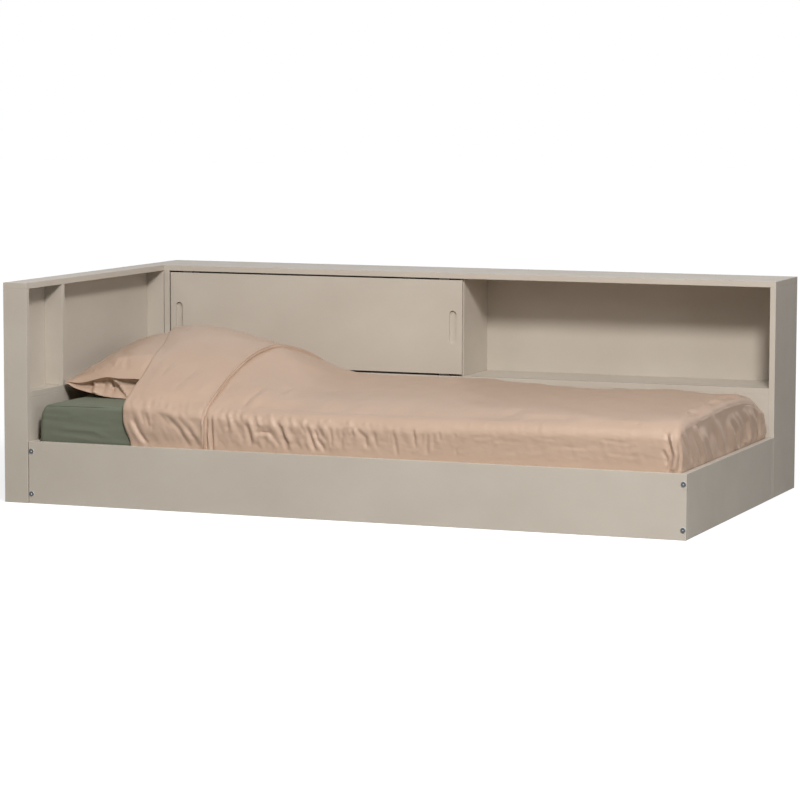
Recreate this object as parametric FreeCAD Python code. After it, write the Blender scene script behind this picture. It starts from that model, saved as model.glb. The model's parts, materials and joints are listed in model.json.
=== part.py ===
"""Corner storage bed: a low bed frame of four boards inside an L of shallow storage units.

The head unit runs along the left end, the back unit along the rear side. A sliding door closes
the left half of the back unit. A made-up mattress lies on slats inside the frame.
Millimetres. While it is built, x runs from the left outer face, y from the front face and z
from the floor. Each finished piece is moved so that the origin is under the bed's middle.
"""

import FreeCAD, Part
import math
import os

V = FreeCAD.Vector

# Mattress, and the room that the frame leaves round it
mattress_length = 2000.0
mattress_width = 900.0
mattress_thickness = 200.0
mattress_side_gap = 10.0
mattress_head_gap = 5.0
mattress_foot_gap = 9.0

# Boards of the frame and of both storage units
board = 18.0
arris = 1.0

# Bed frame
rail_height = 187.0
rail_setback = 3.0
unit_joint = 2.0
back_joint = 1.0

# Storage units
unit_height = 663.0
head_unit_depth = 78.0
back_unit_depth = 265.0
shelf_top = 336.0
head_divider_start = 233.0
left_compartment_width = 1000.0
back_board_inset = 9.0

# Sliding door with its finger grips
door_thickness = 12.0
door_end_gap = 5.0
door_bottom_gap = 6.0
door_top_gap = 5.0
door_to_divider_gap = 5.0
door_short_of_divider = 1.0
grip_width = 23.0
grip_height = 105.0
grip_depth = 7.0
grip_edge_distance = 19.0

# Door tracks, glides and guides
track_width = 6.0
track_wall = 1.0
bottom_track_depth = 7.0
top_track_depth = 12.0
glide_length = 34.0
glide_width = 10.0
glide_inset = 60.0
tongue_length = 14.0
tongue_depth = 5.0
stop_length = 10.0
stop_height = 4.5
glide_screw_spacing = 22.0
glide_screw_radius = 1.5
glide_screw_head_radius = 2.8
glide_screw_head_height = 1.6
glide_screw_length = 20.0

# Slats and the ledgers that carry them
slat_count = 14
slat_width = 70.0
slat_thickness = 18.0
slat_top = 98.0
slat_margin = 20.0
slat_end_gap = 2.0
ledger_width = 30.0
ledger_height = 30.0
ledger_end_gap = 3.0

# Frame bolts with their barrel nuts
bolt_radius = 3.0
bolt_length = 60.0
bolt_head_radius = 7.5
bolt_head_height = 2.4
bolt_head_round = 0.8
bolt_edge_inset = 29.0
socket_across_flats = 4.0
socket_depth = 3.0
nut_radius = 5.0
nut_length = 14.0
nut_distance = 34.0
nut_bore_clearance = 0.1

# Countersunk wood screws
screw_radius = 2.0
screw_head_radius = 4.0
screw_head_height = 2.5
screw_tip_length = 5.0
slat_screw_length = 30.0
slat_screw_inset = 14.0
ledger_screw_length = 40.0
ledger_screw_count = 7
joining_screw_length = 32.0
joining_screw_height = 118.0
head_joining_screw_count = 4
back_joining_screw_count = 6
joining_screw_inset = 120.0

# Dowels under the top boards
dowel_radius = 4.0
dowel_length = 30.0
dowel_in_top = 12.0
dowel_inset = 28.0
dowel_spacing = 240.0

# Cam fittings under the shelves
cam_radius = 7.5
cam_height = 12.5
cam_setback = 24.0
cam_slot_width = 1.6
cam_slot_depth = 1.5
cam_bolt_radius = 3.0
cam_bolt_in_panel = 11.0
cam_inset_back = 50.0

# Clearances and the overrun of cutting tools
fit_clearance = 0.1
running_clearance = 0.3
soft_clearance = 0.3
bore_end_clearance = 1.0
overrun = 5.0

# Fitted sheet over the mattress
mattress_edge_radius = 28.0
sheet_thickness = 1.2
sheet_hem = 90.0

# Pillow: plump, with its sides drawn in between four corners and an open end to the front
pillow_length = 650.0
pillow_width = 600.0
pillow_height = 179.0
pillow_from_head_unit = 12.0
pillow_back_gap = 66.0
pillow_drawn_in = 16.0
pillow_corner_rise = 44.0
pillow_seam_rise = 73.0
pillow_foot_seam_drop = 30.0
pillow_bottom_round = 70.0
pillow_head_shoulder = 95.0
pillow_crown_distance = 240.0
pillow_foot_shoulder = 160.0
head_shoulder_share = 0.8
foot_shoulder_share = 0.66
bulge_share = 0.3
pillow_length_shares = (0.0, 0.03, 0.12, 0.3, 0.5, 0.7, 0.88, 0.97, 1.0)
pillow_fullness_shares = (0.24, 0.33, 0.5, 0.8, 0.98, 0.9, 0.56, 0.24, 0.08)

# Duvet: lies over the mattress, climbs over the pillow and is turned back at the head end
duvet_middle_thickness = 44.7
duvet_edge_thickness = 20.7
duvet_shoulder = 42.0
duvet_side_thickness = 6.0
duvet_over_pillow_thickness = 16.0
duvet_over_pillow_gap = 3.4
duvet_inside_crown = 3.0
duvet_tuck_depth = 45.0
duvet_rail_gap = 1.0
duvet_foot_gap = 0.8
duvet_foot_round = 45.0
duvet_front_crown_inset = 240.0
duvet_back_crown_inset = 88.0
duvet_hump_start = 132.0
duvet_hump_run_out = 255.0
turn_back_start = 296.0
turn_back_length = 256.0
turn_back_slant = 105.0
turn_back_slant_width = 550.0
turn_back_thickness = 6.0
turn_back_side_thickness = 0.5
front_slope_share = 0.39
back_slope_share = 0.25
hump_length_shares = (0.0, 0.22, 0.34, 0.52, 0.62, 0.72, 0.79, 0.87, 1.0)
hump_height_shares = (1.0, 1.0, 0.88, 0.76, 0.64, 0.38, 0.22, 0.1, 0.0)
foot_length_shares = (0.0, 0.45, 0.8, 1.0)
foot_drop_shares = (0.0, 0.1, 0.36, 1.0)

# Places along x
frame_head_x = head_unit_depth + unit_joint
bed_head_x = frame_head_x + board
bed_foot_x = bed_head_x + mattress_head_gap + mattress_length + mattress_foot_gap
length = bed_foot_x + board
mattress_x = bed_head_x + mattress_head_gap
divider_x = bed_head_x + left_compartment_width
divider_right_x = divider_x + board
door_x = bed_head_x + door_end_gap
door_right_x = divider_right_x - door_short_of_divider
door_travel = bed_foot_x - door_end_gap - door_right_x
pillow_x = head_unit_depth + pillow_from_head_unit
hump_x = bed_head_x + duvet_hump_start
hump_end_x = pillow_x + pillow_width + duvet_hump_run_out
duvet_foot_x = bed_foot_x - duvet_foot_gap

# Places along y
rail_back_y = rail_setback + board
bed_back_y = rail_back_y + mattress_side_gap + mattress_width + mattress_side_gap
back_unit_y = bed_back_y + board + back_joint
depth = back_unit_y + back_unit_depth
head_partition_y = back_unit_y - unit_joint
mattress_y = rail_back_y + mattress_side_gap
pillow_y = bed_back_y - pillow_back_gap - pillow_length
door_back_y = back_unit_y + door_thickness
divider_y = door_back_y + door_to_divider_gap
back_board_y = depth - back_board_inset - board
door_middle_y = back_unit_y + door_thickness / 2

# Places along z
under_top = unit_height - board
under_shelf = shelf_top - board
ledger_top = slat_top - slat_thickness
mattress_z = slat_top + sheet_thickness + 2 * soft_clearance
mattress_top = mattress_z + mattress_thickness
sheet_top = mattress_top + soft_clearance + sheet_thickness
bedding_floor = sheet_top + soft_clearance
pillow_top = bedding_floor + pillow_height
duvet_top = bedding_floor + duvet_middle_thickness
duvet_edge = bedding_floor + duvet_edge_thickness
hump_inside = pillow_top + duvet_over_pillow_gap
hump_top = hump_inside + duvet_over_pillow_thickness
duvet_bottom = rail_height - duvet_tuck_depth
door_z = shelf_top + door_bottom_gap
door_top = under_top - door_top_gap


def box(x, y, z):
    """A block between the lowest and highest value of each axis."""
    return Part.makeBox(x[1] - x[0], y[1] - y[0], z[1] - z[0], V(x[0], y[0], z[0]))


def eased_board(x, y, z):
    """A board whose edges are all eased, as lacquered board is."""
    block = box(x, y, z)
    return block.makeFillet(arris, block.Edges)


def rod(radius, size, start, direction):
    return Part.makeCylinder(radius, size, start, direction)


def touching(shape, others):
    """Those of the others whose bounding boxes meet the shape's."""
    return [other for other in others if shape.BoundBox.intersect(other.BoundBox)]


def drilled(shape, bores):
    """The shape with each bore that reaches it cut away."""
    near = touching(shape, bores)
    return shape.cut(Part.makeCompound(near)) if near else shape


def evenly(first, last, count):
    step = (last - first) / (count - 1)
    return [first + step * n for n in range(count)]


def turned(shape, start, direction):
    """Turns a shape built up the z axis to a direction and moves its foot to the start."""
    copy = shape.copy()
    copy.Placement = FreeCAD.Placement(start, FreeCAD.Rotation(V(0, 0, 1), direction))
    return copy


def outline(points):
    return Part.makePolygon(points + [points[0]])


def revolved(points):
    """The solid that a closed outline in the x-z plane sweeps out round the z axis."""
    return Part.Face(outline(points)).revolve(V(0, 0, 0), V(0, 0, 1), 360)


# Frame bolts: each passes a rail and enters the end of the head board or the foot board

def frame_bolt():
    """A flat-headed bolt with a hexagon socket; the underside of the head is at its foot."""
    head = rod(bolt_head_radius, bolt_head_height, V(0, 0, -bolt_head_height), V(0, 0, 1))
    rim = [edge for edge in head.Edges if edge.BoundBox.ZMax < -bolt_head_height / 2]
    head = head.makeFillet(bolt_head_round, rim)
    shank = rod(bolt_radius, bolt_length, V(0, 0, 0), V(0, 0, 1))
    corner = socket_across_flats / math.sqrt(3)
    hexagon = [
        V(corner * math.cos(math.radians(turn)), corner * math.sin(math.radians(turn)), 0)
        for turn in range(0, 360, 60)
    ]
    socket = Part.Face(outline(hexagon)).extrude(V(0, 0, socket_depth + overrun))
    socket.translate(V(0, 0, -bolt_head_height - overrun))
    return head.fuse(shank).removeSplitter().cut(socket)


def bolt_places():
    """The foot and direction of every frame bolt: front rail first, then back rail."""
    heights = (bolt_edge_inset, rail_height - bolt_edge_inset)
    columns = (frame_head_x + board / 2, length - board / 2)
    back_seat = bed_back_y + board - bolt_head_height
    front = [(V(x, rail_setback, z), V(0, 1, 0)) for x in columns for z in heights]
    back = [(V(x, back_seat, z), V(0, -1, 0)) for x in columns for z in heights]
    return front + back


def nut_places():
    """The open end of every barrel nut's bore, in the inner face of its board, and its direction."""
    places = []
    for seat, along in bolt_places():
        board_end = rail_back_y if along.y > 0 else bed_back_y
        y = board_end + along.y * nut_distance
        at_head = seat.x < length / 2
        x = bed_head_x if at_head else bed_foot_x
        places.append((V(x, y, seat.z), V(-1 if at_head else 1, 0, 0)))
    return places


def barrel_nuts():
    nuts = []
    for (seat, along), (mouth, inward) in zip(bolt_places(), nut_places()):
        start = mouth + inward * ((board - nut_length) / 2)
        nut = rod(nut_radius, nut_length, start, inward)
        thread = rod(bolt_radius + fit_clearance / 2, bolt_length, seat, along)
        nuts.append(nut.cut(thread))
    return nuts


def bolt_bores():
    """The holes for the bolts' shanks and, in the back rail, for their sunk heads."""
    radius = bolt_radius + fit_clearance
    reach = overrun + bolt_length + bore_end_clearance
    sink_radius = bolt_head_radius + fit_clearance
    sink_depth = bolt_head_height + overrun
    bores = []
    for seat, along in bolt_places():
        bores.append(rod(radius, reach, seat - along * overrun, along))
        if along.y < 0:
            bores.append(rod(sink_radius, sink_depth, seat, along * -1))
    return bores


def nut_bores():
    radius = nut_radius + nut_bore_clearance
    reach = overrun + (board + nut_length) / 2 + nut_bore_clearance
    return [rod(radius, reach, mouth - inward * overrun, inward) for mouth, inward in nut_places()]


# Wood screws: the flat of each head is flush with the face that it enters

def screw(radius, head_radius, head_height, size):
    """A countersunk screw that points up z from the face that its head is flush with."""
    return revolved([
        V(0, 0, 0),
        V(head_radius, 0, 0),
        V(radius, 0, head_height),
        V(radius, 0, size - screw_tip_length),
        V(0, 0, size),
    ])


def wood_screw(size):
    return screw(screw_radius, screw_head_radius, screw_head_height, size)


def screw_hole(radius, head_radius, head_height, size):
    """The room for a screw, larger by the fitting clearance and open above its head."""
    shank = rod(radius + fit_clearance, size + bore_end_clearance, V(0, 0, 0), V(0, 0, 1))
    sink = Part.makeCone(head_radius + fit_clearance, radius + fit_clearance, head_height)
    mouth = rod(head_radius + fit_clearance, overrun, V(0, 0, -overrun), V(0, 0, 1))
    return shank.fuse([sink, mouth])


def wood_screw_hole(size):
    return screw_hole(screw_radius, screw_head_radius, screw_head_height, size)


def slat_starts():
    first = bed_head_x + slat_margin
    last = bed_foot_x - slat_margin - slat_width
    return evenly(first, last, slat_count)


def slat_screw_places():
    rows = (rail_back_y + slat_screw_inset, bed_back_y - slat_screw_inset)
    return [(V(x + slat_width / 2, y, slat_top), V(0, 0, -1)) for x in slat_starts() for y in rows]


def ledger_screw_places():
    """The ledger screws stand midway between two slats."""
    pitch = slat_starts()[1] - slat_starts()[0]
    middle_height = ledger_top - ledger_height / 2
    half_gap = slat_width + (pitch - slat_width) / 2
    spread = [slat_starts()[2 * n] + half_gap for n in range(ledger_screw_count)]
    front = [(V(x, rail_back_y + ledger_width, middle_height), V(0, -1, 0)) for x in spread]
    back = [(V(x, bed_back_y - ledger_width, middle_height), V(0, 1, 0)) for x in spread]
    return front + back


def joining_screw_places():
    """Screws from inside the frame that hold it to the head unit and to the back unit."""
    inset = joining_screw_inset
    across = evenly(rail_back_y + inset, bed_back_y - inset, head_joining_screw_count)
    along = evenly(bed_head_x + inset, bed_foot_x - inset, back_joining_screw_count)
    head = [(V(bed_head_x, y, joining_screw_height), V(-1, 0, 0)) for y in across]
    back = [(V(x, bed_back_y, joining_screw_height), V(0, 1, 0)) for x in along]
    return head + back


# Dowels: upright, between the top boards and the upright boards under them

def dowel_row(first, last):
    """Points from one end of a board's edge to the other, inset at both ends."""
    whole = (last - first).Length
    count = max(2, round((whole - 2 * dowel_inset) / dowel_spacing) + 1)
    step = (last - first) * (1 / whole)
    return [first + step * place for place in evenly(dowel_inset, whole - dowel_inset, count)]


def dowel_feet():
    bottom = under_top + dowel_in_top - dowel_length
    half = board / 2
    side_rows = [(x + half, back_unit_y, depth) for x in (frame_head_x, bed_foot_x)]
    side_rows.append((divider_x + half, divider_y, back_board_y))
    side_rows.append((half, board, depth - board))
    feet = []
    for x, front, rear in side_rows:
        feet += dowel_row(V(x, front, bottom), V(x, rear, bottom))
    rear_y = back_board_y + half
    feet += dowel_row(V(bed_head_x, rear_y, bottom), V(bed_foot_x, rear_y, bottom))
    single_x = board + (head_unit_depth - board) / 2
    for y in (half, head_divider_start + half, head_partition_y + half, depth - half):
        feet.append(V(single_x, y, bottom))
    return feet


def dowels():
    return [rod(dowel_radius, dowel_length, foot, V(0, 0, 1)) for foot in dowel_feet()]


def dowel_bores():
    radius = dowel_radius + fit_clearance
    size = dowel_length + bore_end_clearance
    below = V(0, 0, bore_end_clearance / 2)
    return [rod(radius, size, foot - below, V(0, 0, 1)) for foot in dowel_feet()]


# Cam fittings: a cam sunk in a shelf's underside grips a bolt that stands in an upright board

def cam_joints():
    """The face of each upright board where a shelf ends, and the way from it into the shelf."""
    height = shelf_top - board / 2
    joints = []
    for y in (back_unit_y + cam_inset_back, back_board_y - cam_inset_back):
        joints.append((V(bed_head_x, y, height), V(1, 0, 0)))
        joints.append((V(bed_foot_x, y, height), V(-1, 0, 0)))
    middle_x = board + (head_unit_depth - board) / 2
    joints.append((V(middle_x, board, height), V(0, 1, 0)))
    joints.append((V(middle_x, head_partition_y, height), V(0, -1, 0)))
    return joints


def cam_bolt(face, inward, spare):
    start = face - inward * (cam_bolt_in_panel + spare)
    return rod(cam_bolt_radius + spare, cam_bolt_in_panel + cam_setback + spare, start, inward)


def cams():
    made = []
    for face, inward in cam_joints():
        centre = face + inward * cam_setback
        foot = V(centre.x, centre.y, under_shelf)
        cam = rod(cam_radius, cam_height, foot, V(0, 0, 1))
        slot = box(
            (centre.x - cam_radius - overrun, centre.x + cam_radius + overrun),
            (centre.y - cam_slot_width / 2, centre.y + cam_slot_width / 2),
            (under_shelf - overrun, under_shelf + cam_slot_depth),
        )
        made.append(cam.cut([slot, cam_bolt(face, inward, fit_clearance)]))
    return made


def cam_bores():
    radius = cam_radius + fit_clearance
    reach = overrun + cam_height + fit_clearance
    bores = []
    for face, inward in cam_joints():
        centre = face + inward * cam_setback
        bores.append(rod(radius, reach, V(centre.x, centre.y, under_shelf - overrun), V(0, 0, 1)))
        bores.append(cam_bolt(face, inward, fit_clearance))
    return bores


# Bed frame

def frame_boards():
    inner_width = (rail_back_y, bed_back_y)
    full_height = (0, rail_height)
    return {
        "front_rail": eased_board((frame_head_x, length), (rail_setback, rail_back_y), full_height),
        "back_rail": eased_board((frame_head_x, length), (bed_back_y, bed_back_y + board), full_height),
        "bed_head_board": eased_board((frame_head_x, bed_head_x), inner_width, full_height),
        "bed_foot_board": eased_board((bed_foot_x, length), inner_width, full_height),
    }


def ledgers():
    x = (bed_head_x + ledger_end_gap, bed_foot_x - ledger_end_gap)
    z = (ledger_top - ledger_height, ledger_top)
    return {
        "front_ledger": eased_board(x, (rail_back_y, rail_back_y + ledger_width), z),
        "back_ledger": eased_board(x, (bed_back_y - ledger_width, bed_back_y), z),
    }


def slats():
    y = (rail_back_y + slat_end_gap, bed_back_y - slat_end_gap)
    z = (ledger_top, slat_top)
    return {
        f"slat_{number:02d}": eased_board((x, x + slat_width), y, z)
        for number, x in enumerate(slat_starts(), 1)
    }


# Head unit: a shallow open niche over a closed lower part

def head_unit():
    across = (0, head_unit_depth)
    inside = (board, head_unit_depth)
    face = (head_unit_depth - board, head_unit_depth)
    upright = (0, under_top)
    niche = (board, head_partition_y)
    divider = (head_divider_start, head_divider_start + board)
    partition = (head_partition_y, head_partition_y + board)
    return {
        "head_front_panel": eased_board(across, (0, board), upright),
        "head_far_panel": eased_board(across, (depth - board, depth), upright),
        "head_outer_board": eased_board((0, board), (board, depth - board), upright),
        "head_partition": eased_board(inside, partition, upright),
        "head_divider": eased_board(inside, divider, (shelf_top, under_top)),
        "head_shelf": eased_board(inside, niche, (under_shelf, shelf_top)),
        "head_lower_panel": eased_board(face, niche, (0, under_shelf)),
        "head_top": eased_board(across, (0, depth), (under_top, unit_height)),
    }


# Back unit: two compartments over a closed lower part

def back_unit():
    inside = (bed_head_x, bed_foot_x)
    side = (back_unit_y, depth)
    upright = (0, under_top)
    middle = (divider_x, divider_right_x)
    face = (back_unit_y, back_unit_y + board)
    behind_face = (back_unit_y + board, back_board_y)
    rear = (back_board_y, back_board_y + board)
    shelf = eased_board(inside, (back_unit_y, back_board_y), (under_shelf, shelf_top))
    top = eased_board((head_unit_depth, length), side, (under_top, unit_height))
    return {
        "back_left_panel": eased_board((frame_head_x, bed_head_x), side, upright),
        "back_right_panel": eased_board((bed_foot_x, length), side, upright),
        "back_divider": eased_board(middle, (divider_y, back_board_y), (shelf_top, under_top)),
        "back_shelf": shelf.cut(track_groove(shelf_top, -bottom_track_depth)),
        "back_lower_panel": eased_board(inside, face, (0, under_shelf)),
        "back_lower_support": eased_board(middle, behind_face, (0, under_shelf)),
        "back_board": eased_board(inside, rear, upright),
        "back_top": top.cut(track_groove(under_top, top_track_depth)),
    }


# Sliding door: it stands with its glides in the lower track, and its guides steady it in the upper

def about(middle, size):
    """The lowest and highest value of a size centred on its middle."""
    return (middle - size / 2, middle + size / 2)


def track_groove(face, reach):
    """The groove for a track, from the face that it is let into."""
    way = math.copysign(1, reach)
    x = (bed_head_x - fit_clearance, bed_foot_x + fit_clearance)
    y = about(door_middle_y, track_width + 2 * fit_clearance)
    return box(x, y, sorted((face - way * overrun, face + reach + way * fit_clearance)))


def track(face, reach):
    """A channel open at the face that it is let into."""
    way = math.copysign(1, reach)
    floor = face + reach
    outside = box((bed_head_x, bed_foot_x), about(door_middle_y, track_width), sorted((face, floor)))
    hollow = box(
        (bed_head_x - overrun, bed_foot_x + overrun),
        about(door_middle_y, track_width - 2 * track_wall),
        sorted((floor - way * track_wall, face - way * overrun)),
    )
    return outside.cut(hollow)


def tongue_width():
    return track_width - 2 * (track_wall + running_clearance)


def glide_centres():
    return {"left": door_x + glide_inset, "right": door_right_x - glide_inset}


def door_shoe(centre, door_face, track_face):
    """A plastic shoe on the door's edge whose tongue runs in a track."""
    way = math.copysign(1, track_face - door_face)
    shoulder = track_face - way * running_clearance
    tip = shoulder + way * tongue_depth
    plate = box(
        about(centre, glide_length),
        about(door_middle_y, glide_width),
        sorted((door_face, shoulder)),
    )
    tongue = box(
        about(centre, tongue_length),
        about(door_middle_y, tongue_width()),
        sorted((shoulder, tip)),
    )
    return plate.fuse(tongue).removeSplitter()


def shoe_screw_places():
    """The screws enter the shoes' shoulders on both sides of the tongue."""
    places = []
    for centre in glide_centres().values():
        for x in about(centre, glide_screw_spacing):
            places.append((V(x, door_middle_y, shelf_top + running_clearance), V(0, 0, 1)))
            places.append((V(x, door_middle_y, under_top - running_clearance), V(0, 0, -1)))
    return places


def shoe_screw_sizes():
    head = (glide_screw_head_radius, glide_screw_head_height)
    return (glide_screw_radius, *head, glide_screw_length)


def shoe_screws():
    return [turned(screw(*shoe_screw_sizes()), *place) for place in shoe_screw_places()]


def shoe_screw_bores():
    return [turned(screw_hole(*shoe_screw_sizes()), *place) for place in shoe_screw_places()]


def finger_grip(left):
    """The cutter of one upright grip with round ends, sunk into the door's face."""
    radius = grip_width / 2
    middle = (door_z + door_top) / 2
    low = middle - grip_height / 2 + radius
    high = middle + grip_height / 2 - radius
    start = back_unit_y - overrun
    reach = grip_depth + overrun
    straight = box((left, left + grip_width), (start, start + reach), (low, high))
    ends = [rod(radius, reach, V(left + radius, start, z), V(0, 1, 0)) for z in (low, high)]
    return straight.fuse(ends)


def sliding_door():
    panel = eased_board((door_x, door_right_x), (back_unit_y, door_back_y), (door_z, door_top))
    left_grip = finger_grip(door_x + grip_edge_distance)
    right_grip = finger_grip(door_right_x - grip_edge_distance - grip_width)
    return panel.cut([left_grip, right_grip])


def track_stops():
    """Two blocks in the lower track that the glides' tongues meet at the ends of the travel."""
    floor = shelf_top - bottom_track_depth + track_wall
    closed = glide_centres()["left"] - tongue_length / 2 - running_clearance
    opened = glide_centres()["right"] + door_travel + tongue_length / 2 + running_clearance
    y = about(door_middle_y, tongue_width())
    z = (floor, floor + stop_height)
    return [box((start, start + stop_length), y, z) for start in (closed - stop_length, opened)]


def door_pieces():
    bores = shoe_screw_bores()
    pieces = {
        "sliding_door": drilled(sliding_door(), bores),
        "door_bottom_track": track(shelf_top, -bottom_track_depth),
        "door_top_track": track(under_top, top_track_depth),
        "track_stops": Part.makeCompound(track_stops()),
        "door_shoe_screws": Part.makeCompound(shoe_screws()),
    }
    for side, centre in glide_centres().items():
        pieces[f"door_glide_{side}"] = drilled(door_shoe(centre, door_z, shelf_top), bores)
        pieces[f"door_guide_{side}"] = drilled(door_shoe(centre, door_top, under_top), bores)
    return pieces


# Bedding

def rounded_block(x, y, z, radius):
    """A block whose upright and upper edges are round."""
    block = box(x, y, z)
    low = z[0] + (z[1] - z[0]) / 4
    edges = [edge for edge in block.Edges if edge.CenterOfMass.z > low]
    return block.makeFillet(radius, edges)


def grown_mattress(by):
    """The mattress, or the same form larger all round by one amount."""
    return rounded_block(
        (mattress_x - by, mattress_x + mattress_length + by),
        (mattress_y - by, mattress_y + mattress_width + by),
        (mattress_z - by, mattress_top + by),
        mattress_edge_radius + by,
    )


def fitted_sheet():
    """A thin skin over the mattress, open underneath inside a hem."""
    skin = grown_mattress(soft_clearance + sheet_thickness).cut(grown_mattress(soft_clearance))
    window = box(
        (mattress_x + sheet_hem, mattress_x + mattress_length - sheet_hem),
        (mattress_y + sheet_hem, mattress_y + mattress_width - sheet_hem),
        (mattress_z - overrun, mattress_z),
    )
    return skin.cut(window)


def arc(start, middle, end):
    return Part.Arc(start, middle, end).toShape()


def line(start, end):
    return Part.LineSegment(start, end).toShape()


def bulge(seam, end):
    """A point between a seam and an end, drawn out towards the corner straight above or below it."""
    corner = V(seam.x, seam.y, end.z)
    middle = (seam + end) / 2
    return middle + (corner - middle) * bulge_share


def pillow_section(place, fullness):
    """A section across the pillow: seams at both sides, a crown, and a bottom flat in its middle."""
    y = pillow_y + place * pillow_length
    draw_in = pillow_drawn_in * math.sin(math.pi * place)
    head_x = pillow_x + draw_in
    foot_x = pillow_x + pillow_width - draw_in
    seam_rise = pillow_corner_rise + (pillow_seam_rise - pillow_corner_rise) * fullness
    seam = bedding_floor + seam_rise
    foot_seam = seam - pillow_foot_seam_drop * fullness
    top = seam + (pillow_height - pillow_seam_rise) * fullness
    bottom = seam - seam_rise * fullness
    head_shoulder_z = seam + (top - seam) * head_shoulder_share
    foot_shoulder_z = foot_seam + (top - foot_seam) * foot_shoulder_share
    head_end = V(head_x, y, seam)
    foot_end = V(foot_x, y, foot_seam)
    crown = V(head_x + pillow_crown_distance, y, top)
    head_shoulder = V(head_x + pillow_head_shoulder, y, head_shoulder_z)
    foot_shoulder = V(foot_x - pillow_foot_shoulder, y, foot_shoulder_z)
    head_flat = V(head_x + pillow_bottom_round, y, bottom)
    foot_flat = V(foot_x - pillow_bottom_round, y, bottom)
    return Part.Wire([
        arc(head_end, bulge(head_end, head_shoulder), head_shoulder),
        arc(head_shoulder, crown, foot_shoulder),
        arc(foot_shoulder, bulge(foot_end, foot_shoulder), foot_end),
        arc(foot_end, bulge(foot_end, foot_flat), foot_flat),
        line(foot_flat, head_flat),
        arc(head_flat, bulge(head_end, head_flat), head_end),
    ])


def pillow():
    sections = [pillow_section(*pair) for pair in zip(pillow_length_shares, pillow_fullness_shares)]
    return Part.makeLoft(sections, True, False)


def heap_section(x, top, edge, inset, shoulder):
    """A section across the bed: straight sides, round shoulders, and slopes up to a crown."""
    near = rail_back_y + duvet_rail_gap + inset
    far = bed_back_y - duvet_rail_gap - inset
    cut_corner = shoulder * (1 - math.sqrt(0.5))
    near_crown = V(x, near + duvet_front_crown_inset, top - (top - edge) * front_slope_share)
    far_crown = V(x, far - duvet_back_crown_inset, top - (top - edge) * back_slope_share)
    middle_y = (near_crown.y + far_crown.y) / 2
    near_foot = V(x, near, duvet_bottom)
    near_side = V(x, near, edge - shoulder)
    near_top = V(x, near + shoulder, edge)
    far_foot = V(x, far, duvet_bottom)
    far_side = V(x, far, edge - shoulder)
    far_top = V(x, far - shoulder, edge)
    return Part.Wire([
        line(near_foot, near_side),
        arc(near_side, V(x, near + cut_corner, edge - cut_corner), near_top),
        line(near_top, near_crown),
        arc(near_crown, V(x, middle_y, top), far_crown),
        line(far_crown, far_top),
        arc(far_top, V(x, far - cut_corner, edge - cut_corner), far_side),
        line(far_side, far_foot),
        line(far_foot, near_foot),
    ])


def hump_stations():
    """Places along the bed where the duvet lies over the pillow, with how high it stands there."""
    hump_length = hump_end_x - hump_x
    shares = zip(hump_length_shares, hump_height_shares)
    return [(hump_x + place * hump_length, high) for place, high in shares]


def duvet_outside(thicker, wider):
    """The heap that the duvet's upper side bounds, or the same heap made thicker and wider."""
    edge = duvet_edge + thicker
    sections = []
    for x, high in hump_stations():
        top = duvet_top + (hump_top - duvet_top) * high + thicker
        sections.append(heap_section(x, top, edge, -wider, duvet_shoulder))
    for place, drop in zip(foot_length_shares, foot_drop_shares):
        x = duvet_foot_x - (1 - place) * duvet_foot_round
        sunk = drop * duvet_foot_round
        sections.append(heap_section(x, duvet_top - sunk, duvet_edge - sunk / 2, -wider, duvet_shoulder))
    return Part.makeLoft(sections, True, True)


def duvet_inside():
    """The room under the duvet: over the sheet, and over the pillow where it stands up."""
    crown = bedding_floor + duvet_inside_crown
    sections = [
        heap_section(
            x,
            crown + (hump_inside - crown) * high,
            bedding_floor,
            duvet_side_thickness,
            mattress_edge_radius,
        )
        for x, high in hump_stations() + [(duvet_foot_x - duvet_side_thickness, 0)]
    ]
    return Part.makeLoft(sections, True, True)


def across_bed(start, end, slant):
    """A block right across the bed between two places on its front side, both ends slanted alike."""
    low = duvet_bottom - overrun
    high = hump_top + turn_back_thickness + overrun
    shift = slant * (bed_back_y - rail_back_y) / turn_back_slant_width
    base = outline([
        V(start, rail_back_y, low),
        V(end, rail_back_y, low),
        V(end - shift, bed_back_y, low),
        V(start - shift, bed_back_y, low),
    ])
    return Part.Face(base).extrude(V(0, 0, high - low))


def duvet():
    """One quilt: its head end is folded over on itself, so it is thicker as far as its hem."""
    fold = bed_head_x + turn_back_start
    hem = fold + turn_back_length
    heap = duvet_outside(turn_back_thickness, turn_back_side_thickness)
    turned_back = heap.common(across_bed(bed_head_x, hem, 0))
    quilt = duvet_outside(0, 0).fuse(turned_back).cut(duvet_inside())
    beyond_fold = across_bed(fold, fold + length, turn_back_slant)
    return quilt.common(beyond_fold)


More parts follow.
